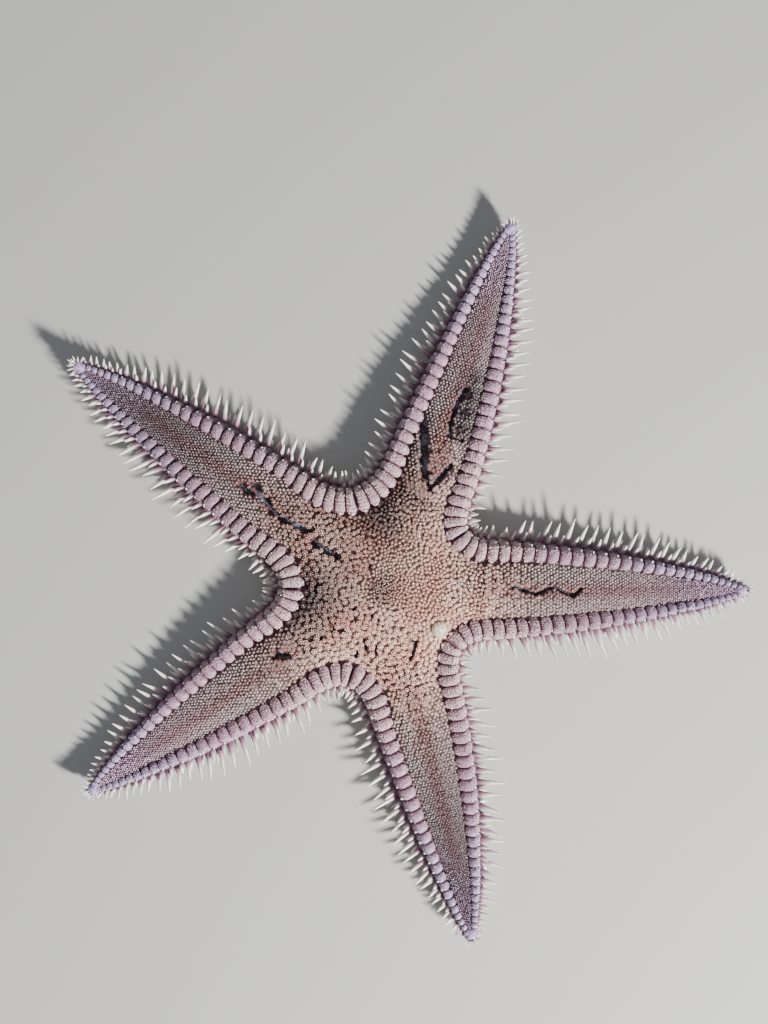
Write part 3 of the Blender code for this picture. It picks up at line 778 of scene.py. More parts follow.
def chart_place(points, arm, t, face="over"):
    """A place on the unwrapped skin of its arm: the arm's length runs across the chart."""
    widest = 2 * np.clip(half_width(arm, t), MM, None)
    across = np.clip(lateral(points[:, :2], arm) / widest, -1, 1)
    return np.column_stack((CHART_FROM + CHART_LONG * t, CHART_MIDDLES[face] + across * CHART_HALF))


print("the centre's place on the chart:", chart_place(CENTRE[None], np.zeros(1, int), 0.0).round(3))

# %% [markdown]
# Every finish works alike. The tint gives the colour, a fine mottle breaks it up, and small
# grain gives the relief. Finishes differ in their grain and in how wet they shine. On the plates
# the grain also paints the granules' tops lighter and the gaps between them darker, partly pale
# granules and partly painted shade.

# %% Nodes that the finishes share
GRANULE_EDGES = (0.62, 0.08)


def noise_node(tree, place, size, detail):
    """Soft noise from 0 to 1 over the object's own space, with patches of about this size."""
    node = tree.nodes.new("ShaderNodeTexNoise")
    node.inputs["Scale"].default_value = 1 / size
    node.inputs["Detail"].default_value = detail
    tree.links.new(place, node.inputs["Vector"])
    return node.outputs["Fac"]


def remapped(tree, value, from_range, to_range, kind="LINEAR"):
    node = tree.nodes.new("ShaderNodeMapRange")
    node.interpolation_type = kind
    names = ("From Min", "From Max", "To Min", "To Max")
    for name, number in zip(names, (*from_range, *to_range)):
        node.inputs[name].default_value = number
    tree.links.new(value, node.inputs["Value"])
    return node.outputs["Result"]


def brightened(tree, colour, factor):
    node = tree.nodes.new("ShaderNodeVectorMath")
    node.operation = "SCALE"
    tree.links.new(colour, node.inputs[0])
    tree.links.new(factor, node.inputs["Scale"])
    return node.outputs["Vector"]


def granule_relief(tree, place, size):
    """Close round granules, 1 on their tops and 0 between them."""
    cells = tree.nodes.new("ShaderNodeTexVoronoi")
    cells.inputs["Scale"].default_value = 1 / size
    tree.links.new(place, cells.inputs["Vector"])
    return remapped(tree, cells.outputs["Distance"], GRANULE_EDGES, (0, 1), "SMOOTHSTEP")


# %% Finishes
MOTTLE_SPREAD = (0.3, 0.7)
GRANULE_PALENESS_AND_SHADE = (0.7, 1.3)


def finish(name, rough, grain, depth, mottle=0.12, mottle_size=1.2 * MM, cells=False, shine=0.5):
    """A finish that reads the tint attribute. grain is the size of its relief, in metres."""
    material = bpy.data.materials.new(name)
    material.use_nodes = True
    tree = material.node_tree
    shader = tree.nodes["Principled BSDF"]
    shader.inputs["Roughness"].default_value = rough
    shader.inputs["Specular IOR Level"].default_value = shine
    place = tree.nodes.new("ShaderNodeTexCoord").outputs["Object"]
    tint = tree.nodes.new("ShaderNodeAttribute")
    tint.attribute_name = "tint"
    spots = noise_node(tree, place, mottle_size, 3)
    strength = remapped(tree, spots, MOTTLE_SPREAD, (1 - mottle, 1 + mottle))
    colour = brightened(tree, tint.outputs["Color"], strength)
    if cells:
        relief = granule_relief(tree, place, grain)
        # Granule tops painted lighter and gaps darker: partly pale granules, partly painted shade.
        colour = brightened(tree, colour, remapped(tree, relief, (0, 1), GRANULE_PALENESS_AND_SHADE))
    else:
        relief = noise_node(tree, place, grain, 2)
    tree.links.new(colour, shader.inputs["Base Color"])
    bump = tree.nodes.new("ShaderNodeBump")
    bump.inputs["Distance"].default_value = depth
    tree.links.new(relief, bump.inputs["Height"])
    tree.links.new(bump.outputs["Normal"], shader.inputs["Normal"])
    return material


skin_finish = finish("damp skin", 0.75, 0.25 * MM, 0.05 * MM, mottle=0.25, shine=0.15)
granule_finish = finish("granules", 0.22, 0.08 * MM, 0.02 * MM, mottle=0.10, shine=0.9)
plate_finish = finish("granular plate", 0.38, 0.2 * MM, 0.05 * MM, cells=True)
spine_finish = finish("spine", 0.35, 0.12 * MM, 0.02 * MM, mottle=0.08, mottle_size=0.6 * MM)
print("finishes:", [made.name for made in (skin_finish, granule_finish, plate_finish, spine_finish)])

# %% [markdown]
# The flesh is one skin with no seam. It could be sculpted, but the star is five like sectors,
# so each is a flat grid bent to its arm, once for the upper face and once for the underside.
# Welding the sheets along their borders closes the body. The skin lies below the solids by
# the height of the paxillae and plates that will stand on it.

# %% Upper height of the skin
PAXILLAE_AT = (0, 0.3, 0.6, 0.9, 1)
PAXILLA_HEIGHTS = np.array((0.62, 0.58, 0.45, 0.30, 0.25)) * MM
SHORTEST_PAXILLA = 0.4
SKIN_INSET = 0.95 * MM
BORDER_LEVEL = 0.5
WALL_TOP = 1.25 * MM
WALL_TOP_LEVEL = 0.82
SHOULDER = 1.6 * MM
SHOULDER_DROP = 1.25 * MM


def between(low, high, first, second, x):
    """Runs evenly from a first value at low to a second one at high."""
    share = np.clip((x - low) / (high - low), 0, 1)
    return first + (second - first) * share


def paxilla_height(arm, t):
    height = np.interp(t, PAXILLAE_AT, PAXILLA_HEIGHTS)
    return height * slim(arm, t, SHORTEST_PAXILLA)


def skin_top(points):
    """The height of the skin's upper face, without the lift of the tips."""
    arm, t, depth, plate, height = field_of(points)
    thin, top = slim(arm, t), crest(t)
    low = paxilla_height(arm, t)
    edge = top - FIELD_STEP * thin - low
    wall_top, shoulder = top * WALL_TOP_LEVEL, top - SHOULDER_DROP * thin
    wall = between(SKIN_INSET * thin, WALL_TOP * thin, top * BORDER_LEVEL, wall_top, depth)
    brow = between(WALL_TOP * thin, SHOULDER * thin, wall_top, shoulder, depth)
    under_plates = between(SHOULDER * thin, plate, shoulder, edge, depth)
    z = np.where(depth < WALL_TOP * thin, wall, brow)
    z = np.where(depth < SHOULDER * thin, z, under_plates)
    z = np.where(depth < plate, z, height - low)
    return z - CRACK_DEPTH * smooth(0, -CRACK_WALL, crack_gap(points)) * (depth > plate)


print("paxillae stand", PAXILLA_HEIGHTS / MM, "mm high along an arm")

# %% Lower height of the skin
FOOT_LEVEL = 0.15
FOOT_FROM, FOOT_UNTIL = 1.2 * MM, 1.9 * MM
UNDER_LEVEL = 1.2 * MM
PLATE_LEVEL = 0.42 * MM
GROOVE_END = 0.995
GROOVE_HALF_WIDTH = 2.2 * MM
GROOVE_SHARE = 0.6
GROOVE_BESIDE = 1.6 * MM
NARROWEST_GROOVE = 0.2 * MM
GROOVE_SIDES = (1.05, 0.25)
GROOVE_DEPTH = 1.9 * MM
MOUTH_RADIUS = 3.3 * MM
PIT_RADIUS = 2.2 * MM
MOUTH_ROOF = 3.4 * MM


def groove_half(arm, t):
    room = half_width(arm, t, GROOVE_END) - GROOVE_BESIDE * slim(arm, t)
    return np.minimum(GROOVE_HALF_WIDTH, GROOVE_SHARE * room.clip(NARROWEST_GROOVE))


def skin_under(points):
    """The height of the skin's underside, with its grooves and the mouth."""
    arm, t = arm_and_share(points)
    depth, _ = to_margin(points)
    thin, top = slim(arm, t), crest(t)
    wall = between(SKIN_INSET * thin, FOOT_FROM * thin, top * BORDER_LEVEL, top * FOOT_LEVEL, depth)
    foot = between(FOOT_FROM * thin, FOOT_UNTIL * thin, top * FOOT_LEVEL, UNDER_LEVEL, depth)
    z = np.where(depth < FOOT_FROM * thin, wall, foot)
    half = groove_half(arm, t)
    roof = GROOVE_DEPTH * half / GROOVE_HALF_WIDTH
    up = smooth(*GROOVE_SIDES, np.abs(lateral(points, arm)) / half)
    z = np.maximum(z, UNDER_LEVEL + roof * up)
    far = np.hypot(*(points - CENTRE).T)
    pit = (MOUTH_ROOF - UNDER_LEVEL) * smooth(MOUTH_RADIUS, PIT_RADIUS, far)
    return np.maximum(z, UNDER_LEVEL + pit)


print("the roof over the mouth is", round(float(skin_under(CENTRE[None])[0]) / MM, 2), "mm up")

# %% Sector of the plan
DISC_ROWS = 36
DISC_REACH, LAST_DISC_ROW = 0.969, 0.986
ARM_ROWS = 116
ROWS_TO_TIP = 1.15
FIELD_COLUMNS = 17
WIDEST_WALL = 0.38
LEAST_REACH = 0.01 * MM
WALL_STEPS = (0.65, 0.42, 0.30, 0.20, 0.10, 0.0)
COLUMNS = FIELD_COLUMNS + len(WALL_STEPS) - 1


def sector(arm):
    """Plan places of a sector as rows from the centre to the tip, and their shares."""
    sides = {}
    for side in SIDES:
        run = MARGINS[arm, side][1][-1]
        at = run * (1 - (1 - np.linspace(0, 1, ARM_ROWS + 1)) ** ROWS_TO_TIP)
        here, _, inward, t = rim_at(arm, side, at)
        inset = here + inward * (SKIN_INSET * slim(arm, t))[:, None]
        out = np.append(np.linspace(0, DISC_REACH, DISC_ROWS - 1), LAST_DISC_ROW)[:, None]
        sides[side] = np.vstack((CENTRE + (inset[0] - CENTRE) * out, inset))
    ahead = ((sides[1] + sides[-1]) / 2 - CENTRE) @ OUT[arm]
    middle = side_point(arm, 0, ahead)
    t = ahead / ARM_LENGTHS[arm]
    rows = []
    for side in (-1, 1):
        reach = np.linalg.norm(sides[side] - middle, axis=1).clip(LEAST_REACH)
        steps = np.outer(slim(arm, t) * MM / reach, WALL_STEPS)
        steps = np.minimum(steps, np.array(WALL_STEPS) * WIDEST_WALL)
        inner = np.outer(1 - steps[:, 0], np.arange(FIELD_COLUMNS) / FIELD_COLUMNS)
        share = np.hstack((inner, 1 - steps))
        rows.append(middle[:, None] + (sides[side] - middle)[:, None] * share[:, :, None])
    return np.concatenate((rows[0][:, :0:-1], rows[1]), 1), t


print("a sector has", DISC_ROWS + ARM_ROWS, "rows of", 2 * COLUMNS, "faces")

# %% Sheets of the skin
CHART_EDGE = 0.01
BAND_EDGE, BAND_BREADTH = 0.02, 0.46


def add_sheet(mesh, arm, plan, t, upper):
    """Adds one face of a sector to the skin, as a grid with its own band of the chart."""
    rows, columns = plan.shape[:2]
    before = len(mesh.verts)
    bmesh.ops.create_grid(mesh, x_segments=rows - 1, y_segments=columns - 1, size=1)
    mesh.verts.ensure_lookup_table()
    verts = mesh.verts[before:]
    row = np.array([round((v.co.x + 1) / 2 * (rows - 1)) for v in verts])
    column = np.array([round((v.co.y + 1) / 2 * (columns - 1)) for v in verts])
    places = plan[row, column]
    z = skin_top(places) if upper else skin_under(places)
    rim = ((column == 0) | (column == columns - 1)) & (row >= DISC_ROWS)
    own = np.clip(((places - CENTRE) @ OUT[arm]) / ARM_LENGTHS[arm], 0, 1)
    z = np.where(rim, crest(own) * BORDER_LEVEL, z) + lift(arm, own)
    chart, under = mesh.loops.layers.uv["OFBake"], mesh.verts.layers.int["under"]
    across = arm + (0 if upper else 0.5) + BAND_EDGE + BAND_BREADTH * column / (columns - 1)
    band = np.column_stack((CHART_EDGE + (1 - 2 * CHART_EDGE) * t[row], across / 5))
    band = dict(zip(verts, band))
    faces = {face for v in verts for face in v.link_faces}
    for face in faces:
        for loop in face.loops:
            loop[chart].uv = band[loop.vert]
    for v, (x, y), height in zip(verts, places, z):
        v.co = (x, y, height)
        v[under] = 0 if upper else 1
    if not upper:
        bmesh.ops.reverse_faces(mesh, faces=list(faces))


print("a band of the chart is", BAND_BREADTH / 5, "wide")

# %% Skin round the cracks
CRACK_REACH = 0.8 * MM
CRACK_CUTS = 3


def near_cracks(mesh):
    """The vertices of the upper face that are in a crack or beside one."""
    layer = mesh.verts.layers.int["under"]
    upper = [v for v in mesh.verts if not v[layer]]
    near = crack_gap(np.array([v.co[:2] for v in upper])) < CRACK_REACH
    return [v for v, close in zip(upper, near) if close]


def refine_cracks(mesh):
    """Divides the skin finely round the cracks, so that their walls are steep."""
    near = set(near_cracks(mesh))
    edges = [edge for edge in mesh.edges if edge.verts[0] in near and edge.verts[1] in near]
    bmesh.ops.subdivide_edges(mesh, edges=edges, cuts=CRACK_CUTS, use_grid_fill=True)
    near = near_cracks(mesh)
    places = np.array([v.co[:2] for v in near])
    arm, t = arm_and_share(places)
    own = np.clip(((places - CENTRE) * OUT[arm]).sum(1) / ARM_LENGTHS[arm], 0, 1)
    for v, z in zip(near, skin_top(places) + lift(arm, own)):
        v.co.z = z


print("skin is divided within", CRACK_REACH / MM, "mm of a crack")

# %% Skin of the body
WELD_DISTANCE = 0.005 * MM
FLAT_EDGE = 1e-7


def skin_colours(places, under):
    """Ground colour above, partly painted shade between the paxillae; plum under the plates and
    just beside them, partly painted shade; slate in the cracks, with lighter clouds partly painted
    wet sheen; and sand below.
    """
    arm, t, depth, plate, _ = field_of(places)
    ground = field_shades(places, arm, t, depth)[2]
    # Skin under and just beside the plates is darkened to plum: partly plum skin, partly painted shade.
    beside = smooth(0.3 * MM, -0.4 * MM, depth - plate)
    ground = mixed(ground, mixed(PLUM, MAUVE, 0.5) * 0.6, beside)
    gap = crack_gap(places)
    ground = mixed(ground, RUSSET * 0.4, smooth(0.25 * MM, 0.05 * MM, gap) * 0.7)
    # Crack floors: dark slate with lighter steel clouds, partly grey-blue wet skin and partly painted
    # wet sheen.
    wet = mixed(SLATE * 1.6, STEEL * 1.3, smooth(0.05, 0.5, clouds(places, 2.4 * MM, 6.0)))
    ground = mixed(ground, wet, smooth(0.02 * MM, -0.15 * MM, gap))
    below = mixed(SAND * 0.8, MAUVE, smooth(0, 0.8, t))
    return np.where(under[:, None] == 1, below, ground)


def make_skin():
    """Welds the ten sheets, refines the cracks and colours the skin."""
    mesh = bmesh.new()
    mesh.loops.layers.uv.new("OFBake")
    mesh.verts.layers.int.new("under")
    for arm in ARMS:
        plan, t = sector(arm)
        for upper in (True, False):
            add_sheet(mesh, arm, plan, t, upper)
    bmesh.ops.remove_doubles(mesh, verts=mesh.verts, dist=WELD_DISTANCE)
    bmesh.ops.dissolve_degenerate(mesh, edges=mesh.edges, dist=FLAT_EDGE)
    refine_cracks(mesh)
    under = np.array([v[mesh.verts.layers.int["under"]] for v in mesh.verts])
    places = np.array([v.co for v in mesh.verts])
    data = bpy.data.meshes.new("skin")
    mesh.to_mesh(data)
    mesh.free()
    store_tint(data, skin_colours(places[:, :2], under))
    data.attributes.remove(data.attributes["under"])
    print("skin:", len(data.polygons), "faces")
    place_mesh("skin", data, skin_finish, flesh)


make_skin()

# %% [markdown]
# Two rows of plates edge each arm. The upper ones are the rounded loaves seen from above, and
# the lower ones stick out below them and turn under the arm. One loaf is made from a grid
# whose border is extruded down, and is then bent over each plate's own profile.

# %% Loaf form
LOAF_ACROSS = (-1.0, -0.86, -0.5, 0.0, 0.5, 0.86, 1.0)
LOAF_DOWN = (0.0, 0.03, 0.08, 0.16, 0.28, 0.42, 0.56, 0.68, 0.78, 0.86, 0.93, 1.0)
TOP_CHART, WALL_CHART, BOTTOM_CHART = 0.8, 0.98, 0.02
BOTTOM_CHART_ASIDE = 0.48


def loaf_form():
    """A plate to bend: x runs along the arm, y from its inner end outwards, z is 0 or -1."""
    mesh = bmesh.new()
    layer = mesh.loops.layers.uv.verify()
    across, down = len(LOAF_ACROSS) - 1, len(LOAF_DOWN) - 1
    bmesh.ops.create_grid(mesh, x_segments=across, y_segments=down, size=1)
    for vertex in mesh.verts:
        x = LOAF_ACROSS[round((vertex.co.x + 1) / 2 * across)]
        y = LOAF_DOWN[round((vertex.co.y + 1) / 2 * down)]
        vertex.co = (x, y, 0)
    border = [edge for edge in mesh.edges if edge.is_boundary]
    made = bmesh.ops.extrude_edge_only(mesh, edges=border)["geom"]
    for vertex in (part for part in made if isinstance(part, bmesh.types.BMVert)):
        vertex.co.z = -1
    bmesh.ops.holes_fill(mesh, edges=[edge for edge in mesh.edges if edge.is_boundary])
    for face in mesh.faces:
        bottom = all(vertex.co.z < 0 for vertex in face.verts)
        for loop in face.loops:
            x, y, z = loop.vert.co
            wide = BOTTOM_CHART if bottom else WALL_CHART if z < 0 else TOP_CHART
            aside = BOTTOM_CHART_ASIDE if bottom else 0
            loop[layer].uv = (0.5 + x / 2 * wide - aside, 0.5 + (y - 0.5) * wide)
    return Form(mesh)


loaf = loaf_form()
print("a loaf has", len(loaf.faces), "triangles")

# %% Profiles of the plates
PLATE_GAP = 0.2 * MM
PLATE_ROUNDING = 1.05 * MM
PLATE_THICKNESS = 1.5 * MM
USUAL_PITCH = 2.7 * MM
UPPER_SET_BACK = 0.7 * MM
UPPER_KNOTS = np.array((0, 0.08, 0.22, 0.46, 0.7, 0.87, 1))
LOWER_KNOTS = np.array((0, 0.12, 0.28, 0.46, 0.6, 0.8, 1))
LOWER_REACH = 6.2 * MM
LEAST_LOWER_REACH = 0.9 * MM
EDGE_PLATE_WIDTH = 1.9 * MM


def eased(knots, values, at):
    """Reads smooth curves through knots; values has a row of knot values for each curve."""
    slopes = np.gradient(values, knots, axis=-1)
    index = np.clip(np.searchsorted(knots, at, "right") - 1, 0, len(knots) - 2)
    span = knots[index + 1] - knots[index]
    s = (at - knots[index]) / span
    start, end = 2 * s**3 - 3 * s**2 + 1, 3 * s**2 - 2 * s**3
    leaving, arriving = s**3 - 2 * s**2 + s, s**3 - s**2
    return (start * values[:, index] + end * values[:, index + 1]
            + leaving * span * slopes[:, index] + arriving * span * slopes[:, index + 1])


def upper_profile(arm, side, share, t):
    """Depth and height at the knots of the upper plates, from their inner to their outer end."""
    length, top, thin = plate_length(arm, side, share), crest(t), slim(arm, t)
    back, mm = UPPER_SET_BACK * thin, MM * thin
    depth = np.stack((length, length - 0.12 * mm, length * 0.80, length * 0.46,
                      back + length * 0.16, back + 0.1 * mm, back + 0.2 * mm), -1)
    height = np.stack((top - 1.35 * mm, top - 0.75 * mm, top - 0.12 * mm, top + 0.05 * mm,
                       top - 0.35 * mm, top * 0.78, top * 0.5), -1)
    return depth, height


def lower_reach(arm, t):
    """How far the lower plates reach in under the arm."""
    room = half_width(arm, t) - groove_half(arm, t) - EDGE_PLATE_WIDTH * slim(arm, t)
    return np.clip(np.minimum(LOWER_REACH, room), LEAST_LOWER_REACH, None)


def lower_profile(arm, side, share, t):
    """Depth and height at the knots of the lower plates, from below the upper ones inwards."""
    reach, top, thin = lower_reach(arm, t), crest(t), slim(arm, t)
    flat, mm = np.full_like(top, PLATE_LEVEL), MM * thin
    depth = np.stack((1.1 * mm, 0.35 * mm, 0.02 * mm, 0.10 * mm, 0.9 * mm, reach * 0.6, reach), -1)
    height = np.stack((top * 0.54, top * 0.50, top * 0.37, top * 0.18,
                       flat + 0.1 * MM, flat, flat + 0.1 * MM), -1)
    return depth, height


print("lower plates reach in", round(float(lower_reach(0, np.array(0.3))) / MM, 1), "mm")

# %% [markdown]
# All that belongs to a plate is placed in its own terms: across it, down its profile and deep
# in it. Its edges are lines that run inwards from the margin, so a plate narrows where they
# draw together, as the real ones do outside a corner.

# %% Places on the plates
PROFILES = {"upper": (upper_profile, UPPER_KNOTS), "lower": (lower_profile, LOWER_KNOTS)}
USUAL_HALF = 1.25 * MM
SMALLEST_SCALE = 0.3
SLOPE_STEP = 0.01
END_START = 0.04
SAG_POWER = 3
SAG_REACH = 0.98
SAG_FADES = 0.3
ROUND_AT = (0, 0.2, 0.4, 1)
INNER_ROUNDS = (0.85, 0.75, 0.55, 0.5)
OUTER_ROUNDS = (0.5, 0.45, 0.35, 0.3)
END_SAG = 0.35


def arched(x):
    """The half width of a round end, x radii from where it begins."""
    return np.sqrt(1 - (1 - np.clip(x, 0, 1)) ** 2)


def slope_down(knots, depth, height, down):
    """The direction of a profile in depth and height, 1 long."""
    after, before = np.clip(down + SLOPE_STEP, 0, 1), np.clip(down - SLOPE_STEP, 0, 1)
    in_depth = eased(knots, depth, after) - eased(knots, depth, before)
    in_height = eased(knots, height, after) - eased(knots, height, before)
    size = np.hypot(in_depth, in_height).clip(1e-9)
    return in_depth / size, in_height / size


def on_plates(kind, arm, side, across, down, deep, lean=0.0):
    """Places on all plates of one row. across runs -1 to 1 along the arm, down 0 to 1 over the
    profile, and deep 0 to 1 into the plate. The result is (plates, places, 3)."""
    begin, end = ENDS[arm, side][:-1], ENDS[arm, side][1:]
    middle = (begin + end) / 2
    share = middle / plated(arm, side)
    _, onward, _, t = rim_at(arm, side, middle)
    profile, knots = PROFILES[kind]
    depth, height = profile(arm, side, share, t)
    d, h = eased(knots, depth, down), eased(knots, height, down)
    in_depth, in_height = slope_down(knots, depth, height, down)
    shift = PLATE_GAP / 2 * np.clip((end - begin) / USUAL_PITCH, SMALLEST_SCALE, 1)
    first, _, first_in, _ = rim_at(arm, side, begin + shift)
    last, _, last_in, _ = rim_at(arm, side, end - shift)
    half = np.linalg.norm(last[:, None] + last_in[:, None] * d[..., None]
                          - first[:, None] - first_in[:, None] * d[..., None], axis=2) / 2
    narrow = np.ones_like(d)
    if kind == "upper":
        ends = (depth[:, :1] - d, INNER_ROUNDS), (d - depth[:, -2:-1], OUTER_ROUNDS)
        for from_end, rounds in ends:
            roundness = np.interp(share, ROUND_AT, rounds)[:, None]
            end_width = arched(END_START + from_end / (half * roundness))
            narrow = narrow * (1 - roundness * (1 - end_width))
    scale = np.clip(half / USUAL_HALF, SMALLEST_SCALE, 1)
    crown = np.sqrt(np.clip(1 - (np.abs(across) * SAG_REACH) ** SAG_POWER, 0, 1))
    sag = (1 - crown) * PLATE_ROUNDING * scale
    if kind == "upper":
        sag = sag * (END_SAG + (1 - END_SAG) * smooth(0.0, SAG_FADES, down))
    sink = sag + deep * PLATE_THICKNESS * scale
    d, h = d - in_height * sink, np.maximum(h + in_depth * sink, 0)
    mix = (across * narrow + 1)[..., None] / 2
    near = first[:, None] + first_in[:, None] * d[..., None]
    far = last[:, None] + last_in[:, None] * d[..., None]
    plan = near * (1 - mix) + far * mix
    bulge = lean * np.sin(np.pi * down) * scale
    plan = plan + onward[:, None] * bulge[..., None]
    z = h + lift(arm, t)[:, None]
    return np.concatenate((plan, z[..., None]), -1), share, t


print("a place on plate 10:", on_plates("upper", 0, 1, *np.zeros((3, 1)))[0][10].round(4))

# %% [markdown]
# Plates are mauve, with rose in the corners and lavender at the tips, and turn to dark plum at
# their sides and walls: painted shade in the seams. Each differs a little in tone from the next.

# %% Colours of the plates
PLATE_TONES = np.array((0.98, 1.27, 0.97, 1.17, 1.25))
PLATE_GREYING = np.array((0.97, 1.07, 1.05))
UPPER_PLATE_TONE = 0.82
PLATE_VARIETY = 0.10
SEAM_FROM = 0.84
SEAM_SHARE = 0.75
PALE_END = (0.3, 0.05)
PALE_END_SHARE = 0.35


def plate_colours(arm, share):
    """Rosy in the corners, lavender at the tips, and paler on some arms."""
    base = mixed(MAUVE, PALE_MAUVE, 0.55 * smooth(0.35, 0.0, share) + 0.2)
    base = mixed(base, LAVENDER, smooth(0.4, 0.95, share) * 0.8) * PLATE_GREYING
    tone = 1 + (PLATE_TONES[arm] - 1) * smooth(0.0, 0.2, share)
    return base * tone[:, None]


def plate_tints(kind, arm, share, form):
    """The plates' colours with pale inner ends, and dark plum in the seams as painted shade."""
    base = plate_colours(arm, share) * (UPPER_PLATE_TONE if kind == "upper" else 1)
    # Lower plates lean towards blue-grey: partly their own colour, partly painted shade.
    if kind == "lower":
        base = mixed(base, BLUE_GREY, 0.45)
    base = base * (1 + PLATE_VARIETY * draw.uniform(-1, 1, (len(share), 1)))
    across, down, deep = np.abs(form.points[:, 0]), form.points[:, 1], -form.points[:, 2]
    # Sides and walls of each plate are painted dark: painted shade in the seams.
    seam = np.clip(smooth(SEAM_FROM, 1.0, across) * SEAM_SHARE + deep, 0, 1)
    inner = smooth(*PALE_END, down) * (PALE_END_SHARE if kind == "upper" else 0)
    tints = mixed(base[:, None], PALE_MAUVE, inner)
    return mixed(tints, mixed(PLUM, MAUVE, 0.6) * 0.6, seam)


print("plates in a corner:", plate_colours(np.zeros(1, int), np.zeros(1)).round(3))

# %% Upper and lower plates
LEAN = 0.28 * MM
PLATE_CHART_EDGE = 0.01
PLATE_CHART = (0.96, 0.46)


def add_plates(heap, kind, arm, side):
    """Adds one row of plates, each with its own patch in a band of the chart."""
    across, down, deep = loaf.points[:, 0], loaf.points[:, 1], -loaf.points[:, 2]
    lean = LEAN if kind == "upper" else 0
    points, share, _ = on_plates(kind, arm, side, across, down, deep, lean)
    tints = plate_tints(kind, arm, share, loaf)
    count = len(share)
    along = PLATE_CHART_EDGE + (1 - 2 * PLATE_CHART_EDGE) * np.arange(count) / count
    half = np.full(count, 0 if side > 0 else 0.5) + PLATE_CHART_EDGE
    wide, tall = PLATE_CHART
    heap.add(loaf, points, tints, np.column_stack((along, half)), (wide / count, tall))


for arm in ARMS:
    for kind in PROFILES:
        plates = Heap()
        for side in SIDES:
            add_plates(plates, kind, arm, side)
        join_on_arm(f"{kind}_plates", plates, plate_finish, arm, (INNER, TIP))

# %% [markdown]
# Knobs and points stand on the upper plates: a small pale point at the outer corner that faces
# the arm's tip, and in some corners of the disc a round knob on the inner end.

# %% Knobs on the plates
POINT_RADIUS = 0.33 * MM
POINT_SHAPE = (1, 1, 1.5)
POINT_PLACE = (0.60, 0.83)
KNOB_SIZES = 0.42 * MM * np.array([[1.0], [0.75]]) * (1, 1, 1.1)
KNOB_PLACE = (0.0, 0.10)
KNOBBED_CORNERS = (1, 2, 4)
KNOB_CHART_ASIDE = 0.004
SMALLEST_DETAIL = 0.45
round_bead = bead_form(2)


def add_knobs(heap, arm, side):
    """Points on every plate's outer corner, and knobs on the first plates of some corners."""
    place = np.array([[POINT_PLACE[0]], [POINT_PLACE[1]], [0.0]])
    points, share, t = on_plates("upper", arm, side, *place, LEAN)
    points, count = points[:, 0], len(points)
    thin = slim(arm, t, SMALLEST_DETAIL)
    outward = -rim_at(arm, side, share * plated(arm, side))[2]
    up = np.column_stack((outward * 0.7, np.full(count, 0.7)))
    size = POINT_RADIUS * thin[:, None] * draw.uniform(0.8, 1.2, (count, 1)) * POINT_SHAPE
    tip = mixed(PALE_MAUVE, IVORY, 0.85)
    corners = chart_place(points, arm, t)
    # The point is painted darker at its root: painted shade.
    plant(heap, bead, points, stood(up, 0, size), tip * 0.75, tip, corners)
    if corner_of(arm, side) in KNOBBED_CORNERS:
        place = np.array([[KNOB_PLACE[0]], [KNOB_PLACE[1]], [0.0]])
        points = on_plates("upper", arm, side, *place, LEAN)[0][:2, 0]
        frames = stood((0, 0, 1), 0, KNOB_SIZES)
        tip = mixed(PALE_MAUVE, IVORY, 0.5)
        corners = chart_place(points, arm, t[:2]) + KNOB_CHART_ASIDE
        # The knob is painted darker at its root: painted shade.
        plant(heap, round_bead, points, frames, tip * 0.7, tip, corners, 0.6)


grow_on_arms("knobs", add_knobs, granule_finish)

# %% [markdown]
# The plates are covered with fine pale granules. A bump would vanish along the outline, so
# they are modelled: a pip of eight faces, in staggered rows, turned to stand out of its plate.
# Each is painted darker at its root as painted shade, and its ivory tip is partly a pale
# granule and partly a painted glint.

# %% Granules on the upper plates
GRAINS_ACROSS = 6
GRAIN_ROWS = 12
GRAINS_FROM, GRAINS_UNTIL = 0.05, 0.88
GRAINS_OUT_TO = 0.86
PLATE_GRAIN = np.array((0.18, 0.18, 0.24)) * MM
PLATE_GRAIN_JITTER = 0.13 * MM
PLATE_GRAIN_DEPTH = 0.3


def add_plate_grains(heap, arm, side):
    row, column = (grid.ravel() for grid in np.mgrid[:GRAIN_ROWS, :GRAINS_ACROSS])
    across = ((column + 0.25 + 0.5 * (row % 2)) / GRAINS_ACROSS * 2 - 1) * GRAINS_OUT_TO
    down = GRAINS_FROM + (GRAINS_UNTIL - GRAINS_FROM) * row / (GRAIN_ROWS - 1)
    places, share, t = on_plates("upper", arm, side, across, down, np.zeros(len(row)), LEAN)
    deep = np.full(len(row), PLATE_GRAIN_DEPTH)
    out = (places - on_plates("upper", arm, side, across, down, deep, LEAN)[0]).reshape(-1, 3)
    places, share, t = places.reshape(-1, 3), np.repeat(share, len(row)), np.repeat(t, len(row))
    places = places + draw.uniform(-1, 1, places.shape) * PLATE_GRAIN_JITTER
    calm = smooth(0.15, 0.6, share)
    thin = slim(arm, t, SMALLEST_DETAIL)
    fit = thin * (1 - 0.35 * calm) * draw.uniform(0.7, 1.4, len(t))
    frames = stood(out, draw.uniform(0, 3, len(t)), PLATE_GRAIN * fit[:, None])
    base = plate_colours(arm, share)
    # Ivory tips: partly pale granules, partly painted glints. Dark roots: painted shade.
    tip = mixed(base * 1.1, IVORY * 1.3, draw.uniform(0, 1, len(t)) ** 1.8 * (1 - 0.65 * calm))
    root = mixed(base * 0.5, base * 0.9, calm)
    plant(heap, pip, places, frames, root, tip, chart_place(places, arm, t))


grow_on_arms("plate_granules", add_plate_grains, granule_finish)

